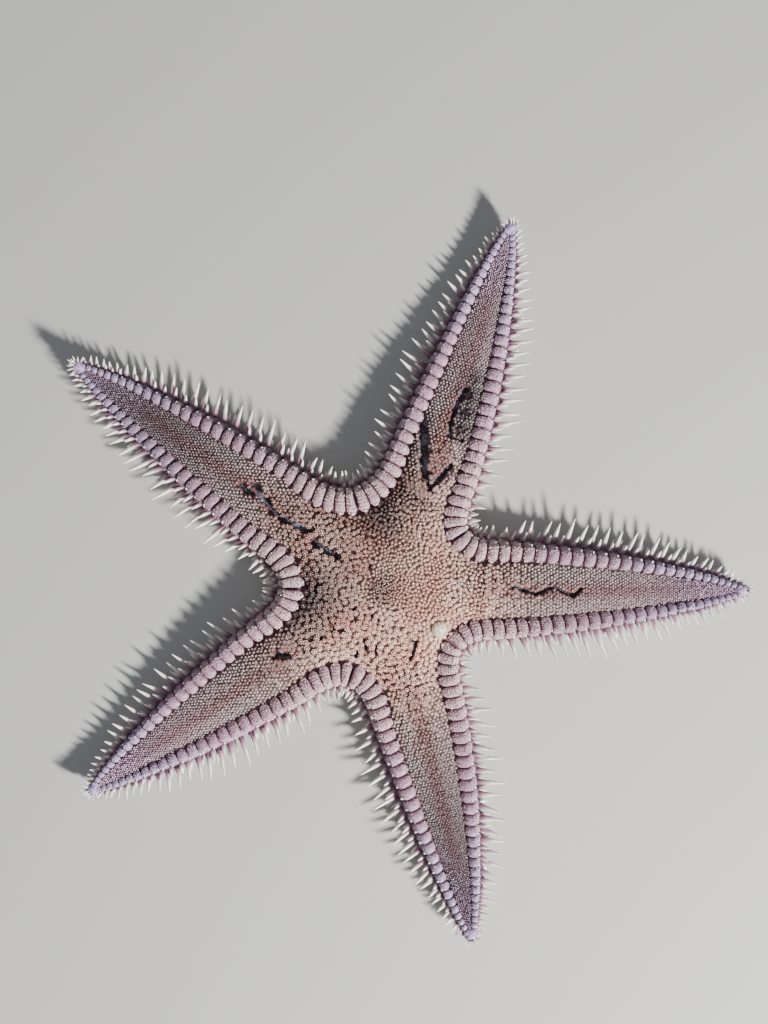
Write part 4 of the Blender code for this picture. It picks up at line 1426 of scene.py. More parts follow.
# %% [markdown]
# The fringe gives the star its name. Each lower plate carries one long spine, usually a second
# beside it and shorter ones below. A spine is a cone with a broad foot, flattened and slightly
# bent. Its lower part is sheathed in plum skin, and its bare end is ivory.

# %% Spine form
SPINE_PROFILE = ((0, 0), (0.50, 0.0), (0.47, 0.06), (0.39, 0.18), (0.32, 0.38), (0.24, 0.6),
                 (0.145, 0.8), (0.07, 0.93), (0, 1))
SPINE_SIDES = 7
SPINE_BEND = 0.05


def spine_form():
    """A spine that stands along Z, 1 tall, and bends towards Y."""
    mesh = turned(SPINE_PROFILE, SPINE_SIDES)
    for vertex in mesh.verts:
        vertex.co.y += SPINE_BEND * vertex.co.z**2
    round_chart(mesh)
    return Form(mesh)


long_spine = spine_form()
print("a spine has", len(long_spine.faces), "triangles")

# %% Fringe of spines
SPINE_AT = (0, 0.08, 0.2, 0.45, 0.7, 0.88, 1)
SPINE_LENGTHS = np.array((4.0, 4.7, 6.4, 7.4, 5.8, 3.6, 2.2)) * MM
CORNER_SPINE_LENGTHS = np.array((3.4, 4.8, 4.3, 4.0, 3.7)) * MM
SPINE_RISES = (38, 32, 20, 13, 16, 22, 25)
SPINE_LEAN = 0.24
SPINE_WIDTH = 1.75 * MM
SPINE_FLATNESS = 0.75
SPINE_ROOT = 0.25
LOW_SPINE_RISE = 12
FLOOR_ROOM = 0.05 * MM
# Each kind: place across and down its plate, length, added rise in degrees, share of the
# plates that have it, and how far its patch on the chart is moved
SPINE_KINDS = {
    "long": (0.12, 0.24, 1.0, 0, 1.0, -0.04),
    "beside": (-0.6, 0.20, 0.5, 14, 0.75, -0.02),
    "below": (0.55, 0.40, 0.55, -8, 0.9, 0.0),
    "lowest": (-0.35, 0.46, 0.45, -14, 0.9, -0.06),
}


def spine_tints(pale):
    """Plum at the foot, turning to ivory a third of the way up."""
    tone = long_spine.tone[None, :]
    sheath = mixed(PLUM * 1.15, MAUVE * 0.9, smooth(0.0, 0.3, tone))
    return mixed(sheath, IVORY, smooth(0.2, 0.6, tone + pale[:, None]))


def add_spines(heap, arm, side, kind):
    across, down, scale, steeper, often, aside = SPINE_KINDS[kind]
    place = np.array([[across], [down], [SPINE_ROOT]])
    roots, share, t = on_plates("lower", arm, side, *place)
    roots = roots[:, 0]
    count = len(roots)
    fade = np.clip(1 - share / SPINE_AT[2], 0, None)
    length = np.interp(share, SPINE_AT, SPINE_LENGTHS)
    length = length + (CORNER_SPINE_LENGTHS[corner_of(arm, side)] - length) * fade
    length = length * scale * draw.uniform(0.82, 1.12, count)
    rise = np.interp(share, SPINE_AT, SPINE_RISES) + steeper + draw.uniform(-8, 8, count)
    rise = np.radians(np.where(steeper < 0, np.minimum(rise, LOW_SPINE_RISE), rise))
    _, along, inward, _ = rim_at(arm, side, share * plated(arm, side))
    lean = SPINE_LEAN * (1 - fade) + draw.uniform(-0.15, 0.15, count)
    plan = -inward + along * lean[:, None]
    plan /= np.linalg.norm(plan, axis=1, keepdims=True)
    aim = np.column_stack((plan * np.cos(rise)[:, None], np.sin(rise)))
    thin = 0.5 + 0.5 * slim(arm, t)
    width = SPINE_WIDTH * thin * (0.75 + 0.25 * scale)
    size = np.column_stack((width, width * SPINE_FLATNESS, length))
    frames = stood(aim, draw.uniform(-0.25, 0.25, count), size)
    keep = draw.uniform(0, 1, count) < often
    points = set_out(long_spine, roots, frames)
    keep &= points[:, :, 2].min(1) > FLOOR_ROOM
    tints = spine_tints(draw.uniform(-0.08, 0.06, count))
    corners = chart_place(roots, arm, t) + (0, aside * side)
    heap.add(long_spine, points[keep], tints[keep], corners[keep])


def add_fringe(heap, arm, side):
    for kind in SPINE_KINDS:
        add_spines(heap, arm, side, kind)


grow_on_arms("fringe", add_fringe, spine_finish, (INNER, TIP))

# %% [markdown]
# The upper face is paved with paxillae: little pillars that spread a crown of granules, like a
# flower head. They are scattered on the disc, stand in staggered rows on the arms and get
# finer towards the tips. Thousands are needed, so each form has few triangles.

# %% Rows of paxillae on an arm
SPACING_AT = (0, 0.02, 0.04, 0.08, 0.2, 0.3, 0.45, 0.6, 0.75, 0.9, 1)
SPACINGS = np.array((0.36, 0.42, 0.7, 0.98, 1.2, 1.0, 0.84, 0.72, 0.6, 0.49, 0.42)) * MM
ROWS_FROM = 24 * MM
ROWS_UNTIL = 0.985
ROW_STEP = 0.866
ROW_JITTER = 0.15
ROW_PLATE_ROOM = 0.2
MIDDLE_WIDER = 1.1
SIDE_CLOSER = 0.3
SIDE_SMALLER = 0.22
CROWN_VARIETY = 0.12
CRACK_ROOM = 0.1 * MM
BARE_FROM, BARE_UNTIL = 0.6, 1.6
DISC_CRACK_ROOM = 0.34 * MM
BUTTON_PLACE = np.array((13.0, -9.0)) * MM
BUTTON_RADIUS = 1.8 * MM
BUTTON_ROOM = 0.4 * MM


def spacing(t):
    return np.interp(t, SPACING_AT, SPACINGS)


def in_field(points, room, crack_room=CRACK_ROOM):
    """Which places lie inside the rows of plates and outside the cracks."""
    arm, t = arm_and_share(points)
    depth, plate = to_margin(points)
    inside = np.abs(lateral(points, arm)) < half_width(arm, t)
    button = np.hypot(*(points - CENTRE - BUTTON_PLACE).T) < BUTTON_RADIUS + BUTTON_ROOM
    return inside & ~button & (depth - plate > room) & (crack_gap(points) > crack_room)


def across_row(half, gap, odd):
    """Places across a row, closer at its sides, set over by half a space in odd rows."""
    right = [gap / 2 if odd else 0.0]
    while right[-1] < half:
        right.append(right[-1] + gap * (MIDDLE_WIDER - SIDE_CLOSER * right[-1] / half))
    return np.unique(np.concatenate((np.negative(right), right)))


def arm_places(arm):
    """Places in rows across an arm, and the width of the crown that each has room for."""
    rows, gaps, ahead, number = [], [], ROWS_FROM, 0
    while ahead < ROWS_UNTIL * ARM_LENGTHS[arm]:
        gap = float(spacing(ahead / ARM_LENGTHS[arm]))
        half = float(half_width(arm, ahead / ARM_LENGTHS[arm]))
        across = across_row(half, gap, number % 2)
        rows.append(side_point(arm, 0, ahead) + np.outer(across, LEFT[arm]))
        gaps.append(gap * (MIDDLE_WIDER - SIDE_SMALLER * np.abs(across) / half))
        ahead += ROW_STEP * gap
        number += 1
    places, gaps = np.vstack(rows), np.concatenate(gaps)
    places += draw.uniform(-1, 1, places.shape) * (gaps * ROW_JITTER)[:, None]
    keep = in_field(places, gaps * ROW_PLATE_ROOM)
    keep &= patched(places, DARK_PATCHES) < draw.uniform(BARE_FROM, BARE_UNTIL, len(places))
    return places[keep], gaps[keep] * draw.uniform(1 - CROWN_VARIETY, 1 + CROWN_VARIETY, keep.sum())


rowed = {arm: arm_places(arm) for arm in ARMS}
print("paxillae in rows:", [len(rowed[arm][0]) for arm in ARMS])

# %% [markdown]
# On the disc the paxillae stand in no rows, yet none overlap. Places are thrown at random and
# kept where there is room, then push each other apart. Small ones fill the gaps that are left.

# %% Room on the disc
THROWS = 6500
ROWS_ROOM = 0.6 * MM
PLATES_ROOM = 0.15 * MM
BROADER_TOWARDS = np.array((-0.8, -0.6))
BROADER_OVER = (-6 * MM, 5 * MM)
WIDTH_SHARES = (0.76, 1.15)
PUSHES = 14
PUSH_SHARE = 0.2


def thrown_places(crack_room):
    """Random places on the disc, inside the plates and short of the rows on the arms."""
    reach = ROWS_FROM / math.cos(math.pi / 5)
    thrown = CENTRE + draw.uniform(-reach, reach, (THROWS, 2))
    thrown = thrown[((thrown - CENTRE) @ OUT.T).max(1) < ROWS_FROM - ROWS_ROOM]
    return thrown[in_field(thrown, PLATES_ROOM, crack_room)]


def disc_spacing(places):
    """Paxillae are broader on the lower left of the disc than on its upper right."""
    away = places - CENTRE
    wide = between(0, 1, *WIDTH_SHARES, smooth(*BROADER_OVER, away @ BROADER_TOWARDS))
    return spacing(np.hypot(*away.T) / SHARED_LENGTH) * wide


def pushed_apart(places, edge):
    """Moves places away from any that are nearer than their spacing."""
    for _ in range(PUSHES):
        gaps = disc_spacing(places)[:, None]
        away = places[:, None] - np.vstack((places, edge))[None]
        far = np.hypot(away[..., 0], away[..., 1]).clip(1e-7)
        push = np.clip(1 - far / gaps, 0, 1) * gaps / far
        places = places + (away * push[..., None]).sum(1) * PUSH_SHARE
    return places


print("spacing in the disc's middle:", disc_spacing(CENTRE[None]).round(5), "m")

# %% Scattered paxillae of the disc
THROWING_ROUNDS = 5
CLOSEST = 0.84
EDGE_PLACES = 40
NEIGHBOURS = 4
BROADEST_CROWN = 1.2
CROWN_HALF = 0.47
SMALLEST_CROWN = 0.34 * MM


def room_at(place, places, crowns):
    """How broad a crown fits at a place among the others."""
    gap = np.hypot(*(places - place).T) - CROWN_HALF * crowns
    return min(2 * gap.min(), float(disc_spacing(place[None])[0]))


def filled(places, crowns, edge):
    """Adds small paxillae where the crowns of the others leave room, the widest gaps first."""
    places, crowns = np.vstack((edge, places)), np.concatenate((disc_spacing(edge), crowns))
    thrown = thrown_places(CRACK_ROOM)
    rooms = np.array([room_at(place, places, crowns) for place in thrown])
    for place in thrown[np.argsort(-rooms)]:
        crown = room_at(place, places, crowns)
        if crown > SMALLEST_CROWN:
            places, crowns = np.vstack((places, place)), np.append(crowns, crown)
    return places[len(edge):], crowns[len(edge):]


def disc_places():
    """Throws places at random, keeps those with room, pushes them apart, and fills the gaps."""
    edge = np.vstack([places[:EDGE_PLACES] for places, _ in rowed.values()])
    places = np.empty((0, 2))
    for _ in range(THROWING_ROUNDS):
        thrown = thrown_places(DISC_CRACK_ROOM)
        taken = np.vstack((edge, places, thrown))
        count = len(edge) + len(places)
        for place, gap in zip(thrown, disc_spacing(thrown)):
            if np.hypot(*(taken[:count] - place).T).min() > CLOSEST * gap:
                taken[count] = place
                count += 1
        places = pushed_apart(taken[len(edge):count], edge)
    places = places[in_field(places, PLATES_ROOM, DISC_CRACK_ROOM)]
    apart = np.hypot(*np.moveaxis(places[:, None] - np.vstack((places, edge))[None], 2, 0))
    room = np.sort(apart, axis=1)[:, 1:NEIGHBOURS + 1].mean(1)
    return filled(places, np.minimum(room, disc_spacing(places) * BROADEST_CROWN), edge)


scattered = disc_places()
print("paxillae on the disc:", len(scattered[0]))

# %% [markdown]
# A paxilla stands at right angles to the upper face, so its direction is read from the slope
# of the face's height. Small paxillae get a stub, a pillar with fewer triangles.

# %% Pillars of the paxillae
PILLAR_PROFILE = ((0, 0), (0.60, 0), (0.96, 0.70), (0.72, 0.92), (0, 1))
STUB_PROFILE = ((0, 0), (0.60, 0), (0.96, 0.80), (0, 1))
SMALL_UNDER = 1.0 * MM
HEAD_SINK = 0.30
PILLAR_TALL = 0.85
CUSHION = 0.4
CROWN_SHADES = 0.14
SLOPE_REACH = 0.5 * MM
pillar = spun_form(PILLAR_PROFILE, 6)
stub = spun_form(STUB_PROFILE, 5)


def upright(points):
    """The height of the upper face with its lift, and the direction that points out of it."""
    heights = []
    for shift in ((0, 0), (SLOPE_REACH, 0), (0, SLOPE_REACH)):
        arm, t, _, _, height = field_of(points + shift)
        heights.append(height + lift(arm, t))
    slopes = (np.array(heights[1:]) - heights[0]) / SLOPE_REACH
    up = np.column_stack((-slopes[0], -slopes[1], np.ones(len(points))))
    return heights[0], up / np.linalg.norm(up, axis=1, keepdims=True)


def add_pillars(heap, head, up, turn, gaps, low, corners, ground, cushion):
    """Pillars that rise from the skin to the heads of the paxillae, darker at the foot as painted
    shade.
    """
    size = np.column_stack((gaps * 0.5, gaps * 0.5, low * PILLAR_TALL))
    frames, feet = stood(up, turn, size), head - up * size[:, 2:]
    for form, own in ((pillar, gaps >= SMALL_UNDER), (stub, gaps < SMALL_UNDER)):
        plant(heap, form, feet[own], frames[own], ground[own], cushion[own], corners[own], 1.5)


print("a pillar has", len(pillar.faces), "triangles and a stub", len(stub.faces))

# %% [markdown]
# Granules are what the eye sees of a paxilla. A ring leans out round its crown, and one in the
# middle stands higher. Each has its own size and lightness, and is painted dark at its root as
# painted shade. Where the skin is light some are painted ivory: painted glints of wet granules.
# The middle one is painted brighter, partly as a painted highlight.

# %% Crowns of the paxillae
RING_GRAINS, SMALL_RING_GRAINS = 7, 5
RING_SHARE = 0.37
RING_JITTER = 0.12
GRAIN_SHARES = (0.11, 0.14)
GRAIN_TALL = 1.4
GRAIN_LEAN = 0.45
# How far up each granule the painted shade at its root reaches.
GRAIN_ROOT_PAINTED_SHADE = 1.7
MIDDLE_SHARES = (0.18, 0.21)
MIDDLE_RAISED = 0.35
SINGLE_UNDER = 0.55 * MM
SINGLE_SHARE = 0.46
GLINT_FULL = 0.5


def ring_tints(index, tip, flank, fine, far):
    """The colours of ring granules at root and tip, lighter or darker at random. Roots take the
    flank's painted shade, and the ivory tips are painted glints.
    """
    light = 0.9 - (0.15 + 0.3 * far[index]) * fine[index] + draw.uniform(-0.5, 0.3, len(index))
    glint = np.minimum(tip[index].mean(1) / GLINT_FULL, 1)[:, None]
    # Ivory tips are painted glints of wet granules.
    pale = mixed(tip[index] * 1.1, IVORY * 1.5 * glint, draw.uniform(-1.0, 0.9, len(index)))
    return flank[index], mixed(flank[index], pale, light)


def add_rings(heap, head, up, turn, gaps, fine, far, tip, flank, corners):
    """A ring of granules round each crown, or none on the smallest."""
    rings = np.where(gaps > SMALL_UNDER, RING_GRAINS, SMALL_RING_GRAINS)
    rings = np.where(gaps < SINGLE_UNDER, 0, rings)
    index = np.repeat(np.arange(len(gaps)), rings)
    number = np.concatenate([np.arange(ring) for ring in rings])
    number = number + draw.uniform(-RING_JITTER, RING_JITTER, len(index))
    around = turn[index] + 2 * math.pi * number / rings[index]
    axes = stood(up, 0, (1, 1, 1))[index]
    out = axes[:, :, 0] * np.cos(around)[:, None] + axes[:, :, 1] * np.sin(around)[:, None]
    grain = gaps[index] * between(0, 1, *GRAIN_SHARES, fine[index])
    grain = grain * draw.uniform(0.85, 1.15, len(index))
    spots = head[index] + out * (gaps[index] * RING_SHARE)[:, None]
    root, top = ring_tints(index, tip, flank, fine, far)
    frames = stood(up[index] + out * GRAIN_LEAN, around, grain[:, None] * (1, 1, GRAIN_TALL))
    charts = corners[index] + np.column_stack((np.cos(around), np.sin(around))) * PATCH * 1.2
    for form, own in ((bead, gaps[index] >= SMALL_UNDER), (pip, gaps[index] < SMALL_UNDER)):
        plant(heap, form, spots[own], frames[own], root[own], top[own], charts[own], GRAIN_ROOT_PAINTED_SHADE)


def add_middles(heap, head, up, turn, gaps, fine, far, tip, flank, corners):
    share = np.where(gaps < SINGLE_UNDER, SINGLE_SHARE, between(0, 1, *MIDDLE_SHARES, fine))
    size = share * gaps
    # The middle granule is painted brighter than the crown, partly as a painted highlight.
    bright = tip * (1.05 + 0.22 * far + draw.uniform(-0.2, 0.2, len(gaps)))[:, None]
    frames = stood(up, turn, size[:, None] * (1, 1, GRAIN_TALL))
    places = head + up * (size * MIDDLE_RAISED)[:, None]
    plant(heap, bead, places, frames, flank, bright, corners + (0.0, 2.2 * PATCH), GRAIN_ROOT_PAINTED_SHADE)


print("granules in a ring:", RING_GRAINS)

# %% [markdown]
# The cracks are bare, but their floors hold a few dark wet granules, scattered about each
# crack's line and kept where they fall inside it. The lighter grey ones are partly painted
# glints, and each is painted darker at its root as painted shade.

# %% Granules in the cracks
CRACK_GRAINS = 12
CRACK_GRAIN = np.array((0.15, 0.15, 0.12)) * MM
CRACK_GRAIN_SPREAD = 0.35
CRACK_GRAIN_INSIDE = 0.08 * MM


def add_crack_grains(heap):
    places = []
    for width, line in CRACKS:
        line = np.array(line)
        for a, b in zip(line, line[1:]):
            count = int(np.linalg.norm(b - a) * width * CRACK_GRAINS)
            along = a + draw.uniform(0, 1, (count, 1)) * (b - a)
            aside = draw.normal(0, width * CRACK_GRAIN_SPREAD, (count, 2))
            places.append(CENTRE + (along + aside) * MM)
    places = np.vstack(places)
    places = places[crack_gap(places) < -CRACK_GRAIN_INSIDE]
    count = len(places)
    arm, t = arm_and_share(places)
    floors = np.column_stack((places, skin_top(places) + lift(arm, t)))
    size = CRACK_GRAIN * draw.uniform(0.6, 1.3, (count, 1))
    frames = stood((0, 0, 1), draw.uniform(0, 3, count), size)
    # Lighter grey granules are partly painted glints; dark roots are painted shade.
    shade = mixed(SLATE * 1.3, STEEL * 2.2, draw.uniform(0, 1, count) ** 2)
    plant(heap, pip, floors, frames, shade * 0.5, shade, chart_place(places, arm, t))


crack_grains = Heap()
add_crack_grains(crack_grains)
join_heap("crack_granules", crack_grains, granule_finish)

# %% Paxillae of each arm and its part of the disc
BROAD_CROWNS_FINE = 0.55
FINE_BETWEEN = (1.35 * MM, 1.0 * MM)


def add_paxillae(heap, places, gaps):
    arm, t, depth, _, _ = field_of(places)
    top, up = upright(places)
    tip, flank, ground = field_shades(places, arm, t, depth)
    fine = BROAD_CROWNS_FINE + (1 - BROAD_CROWNS_FINE) * smooth(*FINE_BETWEEN, gaps)
    low = paxilla_height(arm, t)
    head = np.column_stack((places, top)) - up * (low * HEAD_SINK)[:, None]
    turn = draw.uniform(0, 2 * math.pi, len(places))
    corners = chart_place(places, arm, t)
    tip = tip * draw.uniform(1 - CROWN_SHADES, 1 + CROWN_SHADES, (len(places), 1))
    cushion = mixed(flank, tip, CUSHION * (1 - smooth(0.15, 0.35, t)))
    add_pillars(heap, head, up, turn, gaps, low, corners, ground, cushion)
    flank, far = mixed(flank, cushion, 0.6), smooth(0.2, 0.4, t)
    for add in (add_rings, add_middles):
        add(heap, head, up, turn, gaps, fine, far, tip, flank, corners)


disc_arm = arm_and_share(scattered[0])[0]
for arm in ARMS:
    mine = disc_arm == arm
    paxillae = Heap()
    add_paxillae(paxillae, np.vstack((rowed[arm][0], scattered[0][mine])),
                 np.concatenate((rowed[arm][1], scattered[1][mine])))
    join_on_arm("paxillae", paxillae, granule_finish, arm)

# %% [markdown]
# The madreporite is the sieve that lets water into the star, a pale button with fine furrows
# that wander out from its middle. A dome is spun with many rings, and its vertices are
# lowered along wavy rays.

# %% Madreporite
BUTTON_PROFILE = ((0, 0), (1.02, 0), (1.06, 0.3), (1.02, 0.55), (0.93, 0.76), (0.84, 0.90),
                  (0.75, 1.02), (0.66, 1.10), (0.57, 1.15), (0.48, 1.18), (0.39, 1.20),
                  (0.30, 1.21), (0.21, 1.22), (0.12, 1.22), (0, 1.22))
BUTTON_SIDES = 96
BUTTON_HEIGHT = 1.0 * MM
BUTTON_SINK = 0.55 * MM
FURROWS = 11
FURROW_DEPTH = 0.22
FURROW_PAINTED_SHADE = 0.8
WANDER_WIDE, WANDER_FINE = 2.2, 5
FURROW_TWIST = 6
BUTTON_CHART_EDGE = 0.05


def furrowed(mesh):
    """Lowers the dome's vertices along wavy rays, and gives the tone of each: darker in the
    furrows as painted shade, and darker towards the rim, partly its brownish ring and partly
    painted shade on the dome's sides.
    """
    tones = []
    for vertex in mesh.verts:
        x, y, z = vertex.co
        far, turn = math.hypot(x, y), math.atan2(y, x)
        wander = noise.noise(Vector((x * WANDER_WIDE, y * WANDER_WIDE, 5.0))) * 5
        wander += noise.noise(Vector((x * WANDER_FINE, y * WANDER_FINE, 1.0)))
        ridge = 0.5 + 0.5 * math.sin(turn * FURROWS + wander + far * FURROW_TWIST)
        furrow = smooth(0.05, 0.3, far) * smooth(0.4, 0.7, z) * (1 - ridge)
        vertex.co.z -= FURROW_DEPTH * furrow
        # Furrows painted darker as painted shade; the rim darker, partly its ring and partly painted
        # shade.
        tones.append(float((1 - furrow * FURROW_PAINTED_SHADE) * (smooth(1.15, 0.45, far) * 0.7 + 0.3)))
    return np.array(tones)


def make_madreporite():
    """Spins and furrows the button, and sets it on the disc, square to its slope."""
    mesh = turned(BUTTON_PROFILE, BUTTON_SIDES)
    bmesh.ops.recalc_face_normals(mesh, faces=mesh.faces)
    round_chart(mesh)
    chart = mesh.loops.layers.uv.active
    tones = furrowed(mesh)
    bmesh.ops.scale(mesh, verts=mesh.verts, vec=(BUTTON_RADIUS, BUTTON_RADIUS, BUTTON_HEIGHT))
    place = CENTRE + BUTTON_PLACE
    height, up = upright(place[None])
    turn = Vector((0, 0, 1)).rotation_difference(Vector(up[0])).to_matrix()
    bmesh.ops.rotate(mesh, verts=mesh.verts, cent=(0, 0, 0), matrix=turn)
    bmesh.ops.translate(mesh, verts=mesh.verts, vec=(*place, height[0] - BUTTON_SINK))
    edge = Vector((BUTTON_CHART_EDGE, BUTTON_CHART_EDGE))
    for face in mesh.faces:
        for loop in face.loops:
            loop[chart].uv = loop[chart].uv * (1 - 2 * BUTTON_CHART_EDGE) + edge
    tints = mixed(SAND * 0.5, mixed(IVORY, CREAM, 0.4) * 0.95, tones)
    place_lone("madreporite_button", mesh, tints, granule_finish, ["madreporite"])


make_madreporite()

# %% [markdown]
# Each arm ends in one terminal plate, a granular knob with a notch, and a few short spines
# stand round it. The knob is an icosphere drawn out along the arm and pinched at its end.

# %% Terminal plates
TERMINAL_SIZE = np.array((2.0, 1.45, 1.45)) * MM
TERMINAL_BACK = 1.7 * MM
TERMINAL_HEIGHT = 1.95 * MM
DIRECTION_BACK = 2 * MM
SLOPE_SHARE = 0.03
NOTCH = 0.28
NOTCH_WIDTH = 0.3
NOTCH_DROP = 0.6


def terminal_form():
    mesh = bmesh.new()
    bmesh.ops.create_icosphere(mesh, subdivisions=4, radius=1)
    round_chart(mesh)
    for vertex in mesh.verts:
        x, y, z = vertex.co
        notch = NOTCH * math.exp(-(y / NOTCH_WIDTH) ** 2) * max(x, 0) ** 2
        vertex.co.x -= notch
        vertex.co.z -= notch * NOTCH_DROP
    return Form(mesh)


def arm_end(arm):
    """The place of an arm's terminal plate, and axes that point along the arm."""
    distances = ARM_LENGTHS[arm] - TERMINAL_BACK - np.array((DIRECTION_BACK, 0))
    behind, place = side_point(arm, 0, distances)
    ahead = (place - behind) / np.linalg.norm(place - behind)
    share = 1 - TERMINAL_BACK / ARM_LENGTHS[arm]
    low, high = lift(arm, share - SLOPE_SHARE), lift(arm, share)
    out = np.array((*ahead, (high - low) / (SLOPE_SHARE * ARM_LENGTHS[arm])))
    out /= np.linalg.norm(out)
    left = np.array((-ahead[1], ahead[0], 0))
    return np.array((*place, high + TERMINAL_HEIGHT)), np.column_stack((out, left, np.cross(out, left)))


def add_terminal(heap, place, axes):
    points = set_out(terminal, place[None], (axes * TERMINAL_SIZE)[None])
    # Darker underneath and lighter on top: painted shade and painted light on the knob.
    tints = graded(terminal, LAVENDER * 0.6, LAVENDER * 1.1)
    heap.add(terminal, points, tints, np.array([[0.01, 0.01]]), (0.9, 0.9))


terminal = terminal_form()
print("arm 1 ends at", arm_end(0)[0].round(4))

# %% Spines at the tips
# Each spine: degrees to the left of the arm's direction, and degrees up
TIP_SPINES = ((-78, 18), (-52, 30), (-30, 12), (-14, 38), (0, 20), (14, 38), (30, 12), (52, 30),
              (78, 18))
TIP_SPINE_LENGTH = 1.9 * MM
TIP_SPINE_WIDTH = 0.62 * MM
TIP_SPINE_ROOT = 0.75
TIP_SHARE = 0.99


def add_tip_spines(heap, arm, place, axes):
    aside, rise = np.radians(np.array(TIP_SPINES, float)).T
    aims = np.column_stack((np.cos(aside) * np.cos(rise), np.sin(aside) * np.cos(rise), np.sin(rise)))
    count = len(aims)
    roots = place + (aims * TERMINAL_SIZE * TIP_SPINE_ROOT) @ axes.T
    length = TIP_SPINE_LENGTH * draw.uniform(0.8, 1.15, count)
    size = np.column_stack((np.full((count, 2), TIP_SPINE_WIDTH), length))
    points = set_out(long_spine, roots, stood(aims @ axes.T, draw.uniform(0, 6, count), size))
    tints = spine_tints(np.full(count, 0.1))
    corners = chart_place(roots, arm, np.full(count, TIP_SHARE))
    corners[:, 1] += np.arange(count) * PATCH * 1.2
    heap.add(long_spine, points, tints, corners)


for arm in ARMS:
    knob, tip_spines = Heap(), Heap()
    add_terminal(knob, *arm_end(arm))
    join_on_arm("tip_plate", knob, plate_finish, arm, [TIP])
    add_tip_spines(tip_spines, arm, *arm_end(arm))
    join_on_arm("tip_spines", tip_spines, spine_finish, arm, [TIP])

# %% [markdown]
# Turned over, the star shows a groove under each arm, from the mouth to the tip, edged by small
# plates. A rounded block does for them: an icosphere pushed out towards a cube.

# %% Plates beside the grooves
GROOVE_FROM = 5.4 * MM
GROOVE_UNTIL = 0.955
GROOVE_PITCH = 1.55 * MM
SLIMMEST_BLOCK = 0.4
BLOCK_POWER = 0.62
BLOCK_HALVES = (0.44, 0.52)
BLOCK_HALF_HEIGHT = 0.62 * MM
BLOCK_MIDDLE = 0.40 * MM


def block_form():
    """A rounded block, from -1 to 1 each way."""
    mesh = bmesh.new()
    bmesh.ops.create_icosphere(mesh, subdivisions=2, radius=1)
    for vertex in mesh.verts:
        vertex.co = [math.copysign(abs(c) ** BLOCK_POWER, c) for c in vertex.co]
    round_chart(mesh)
    return Form(mesh)


def groove_stations(arm):
    """Distances along an arm of the plates beside its groove, closer near the tip."""
    stations, at = [], GROOVE_FROM
    while at < GROOVE_UNTIL * ARM_LENGTHS[arm]:
        stations.append(at)
        at += GROOVE_PITCH * float(slim(arm, at / ARM_LENGTHS[arm], SLIMMEST_BLOCK))
    return np.array(stations)


def beside_groove(arm, side, stations, offset, height):
    """Places beside a groove, offset from its edge in plate widths, and the widths there."""
    t = stations / ARM_LENGTHS[arm]
    width = EDGE_PLATE_WIDTH * slim(arm, t)
    away = side * (groove_half(arm, t) + width * offset)
    plan = side_point(arm, 0, stations) + away[:, None] * LEFT[arm]
    level = PLATE_LEVEL + height * slim(arm, t, 0.5) + lift(arm, t)
    return np.column_stack((plan, level)), t, width


def toward(arm, side, along, across, up):
    """Directions from shares along an arm, away from its midline, and up."""
    along, across, up = np.broadcast_arrays(along, across, up)
    plan = along[:, None] * OUT[arm] + side * across[:, None] * LEFT[arm]
    return np.column_stack((plan, up))


def add_groove_plates(heap, arm, side):
    places, t, width = beside_groove(arm, side, GROOVE_STATIONS[arm], 0.5, BLOCK_MIDDLE)
    thin = slim(arm, t, SLIMMEST_BLOCK)
    along, across = BLOCK_HALVES
    size = np.column_stack((GROOVE_PITCH * thin * along, width * across, BLOCK_HALF_HEIGHT * thin))
    axes = np.stack((np.append(OUT[arm], 0), np.append(LEFT[arm], 0), (0, 0, 1.0)), -1)
    shade = mixed(SAND, MAUVE, smooth(0.1, 0.9, t)) * draw.uniform(0.85, 1.05, (len(t), 1))
    frames = axes[None] * size[:, None, :]
    # Each block is painted darker on its top, which is turned to the body: painted shade.
    plant(heap, block, places, frames, shade, shade * 0.5, chart_place(places, arm, t, "under"))


block = block_form()
GROOVE_STATIONS = {arm: groove_stations(arm) for arm in ARMS}
grow_on_arms("groove_plates", add_groove_plates, plate_finish, [INNER])

# %% [markdown]
# Fine spines lean over the groove from each plate, three to a fan, and protect the tube feet.
# Two stubs lean the other way. One slender form of few sides does for all of them.

# %% Spines beside the grooves
NEEDLE_PROFILE = ((0, 0), (0.5, 0), (0.42, 0.45), (0.24, 0.85), (0, 1))
NEEDLE_SIDES = 5
GROOVE_SPINE_LENGTH = 1.9 * MM
GROOVE_SPINE_WIDTH = 0.42 * MM
STUB_LENGTH = 1.15 * MM
# Each row: where its spines stand in plate widths, how high and how far apart in a fan, their
# lean along the arm, the lean's spread, the lean away from the groove and up, and their root
FAN = (0.12, 0.55 * MM, 0.4 * MM, 0.3, 0.1, -0.9, -0.18, SAND * 0.7)
STUBS = (0.55, 0.05 * MM, 0.36 * MM, 0.4, 0.2, 0.9, -0.05, SAND * 0.8)
SHORTEST_SPINES = 0.35
needle = spun_form(NEEDLE_PROFILE, NEEDLE_SIDES)


def add_needles(heap, arm, places, aims, lengths, width, root, tip):
    count = len(places)
    size = np.column_stack((np.full((count, 2), width), lengths))
    frames = stood(aims, draw.uniform(0, 6, count), size)
    t = np.clip((places[:, :2] - CENTRE) @ OUT[arm] / ARM_LENGTHS[arm], 0, 1)
    plant(heap, needle, places, frames, root, tip, chart_place(places, arm, t, "under"), 0.7)


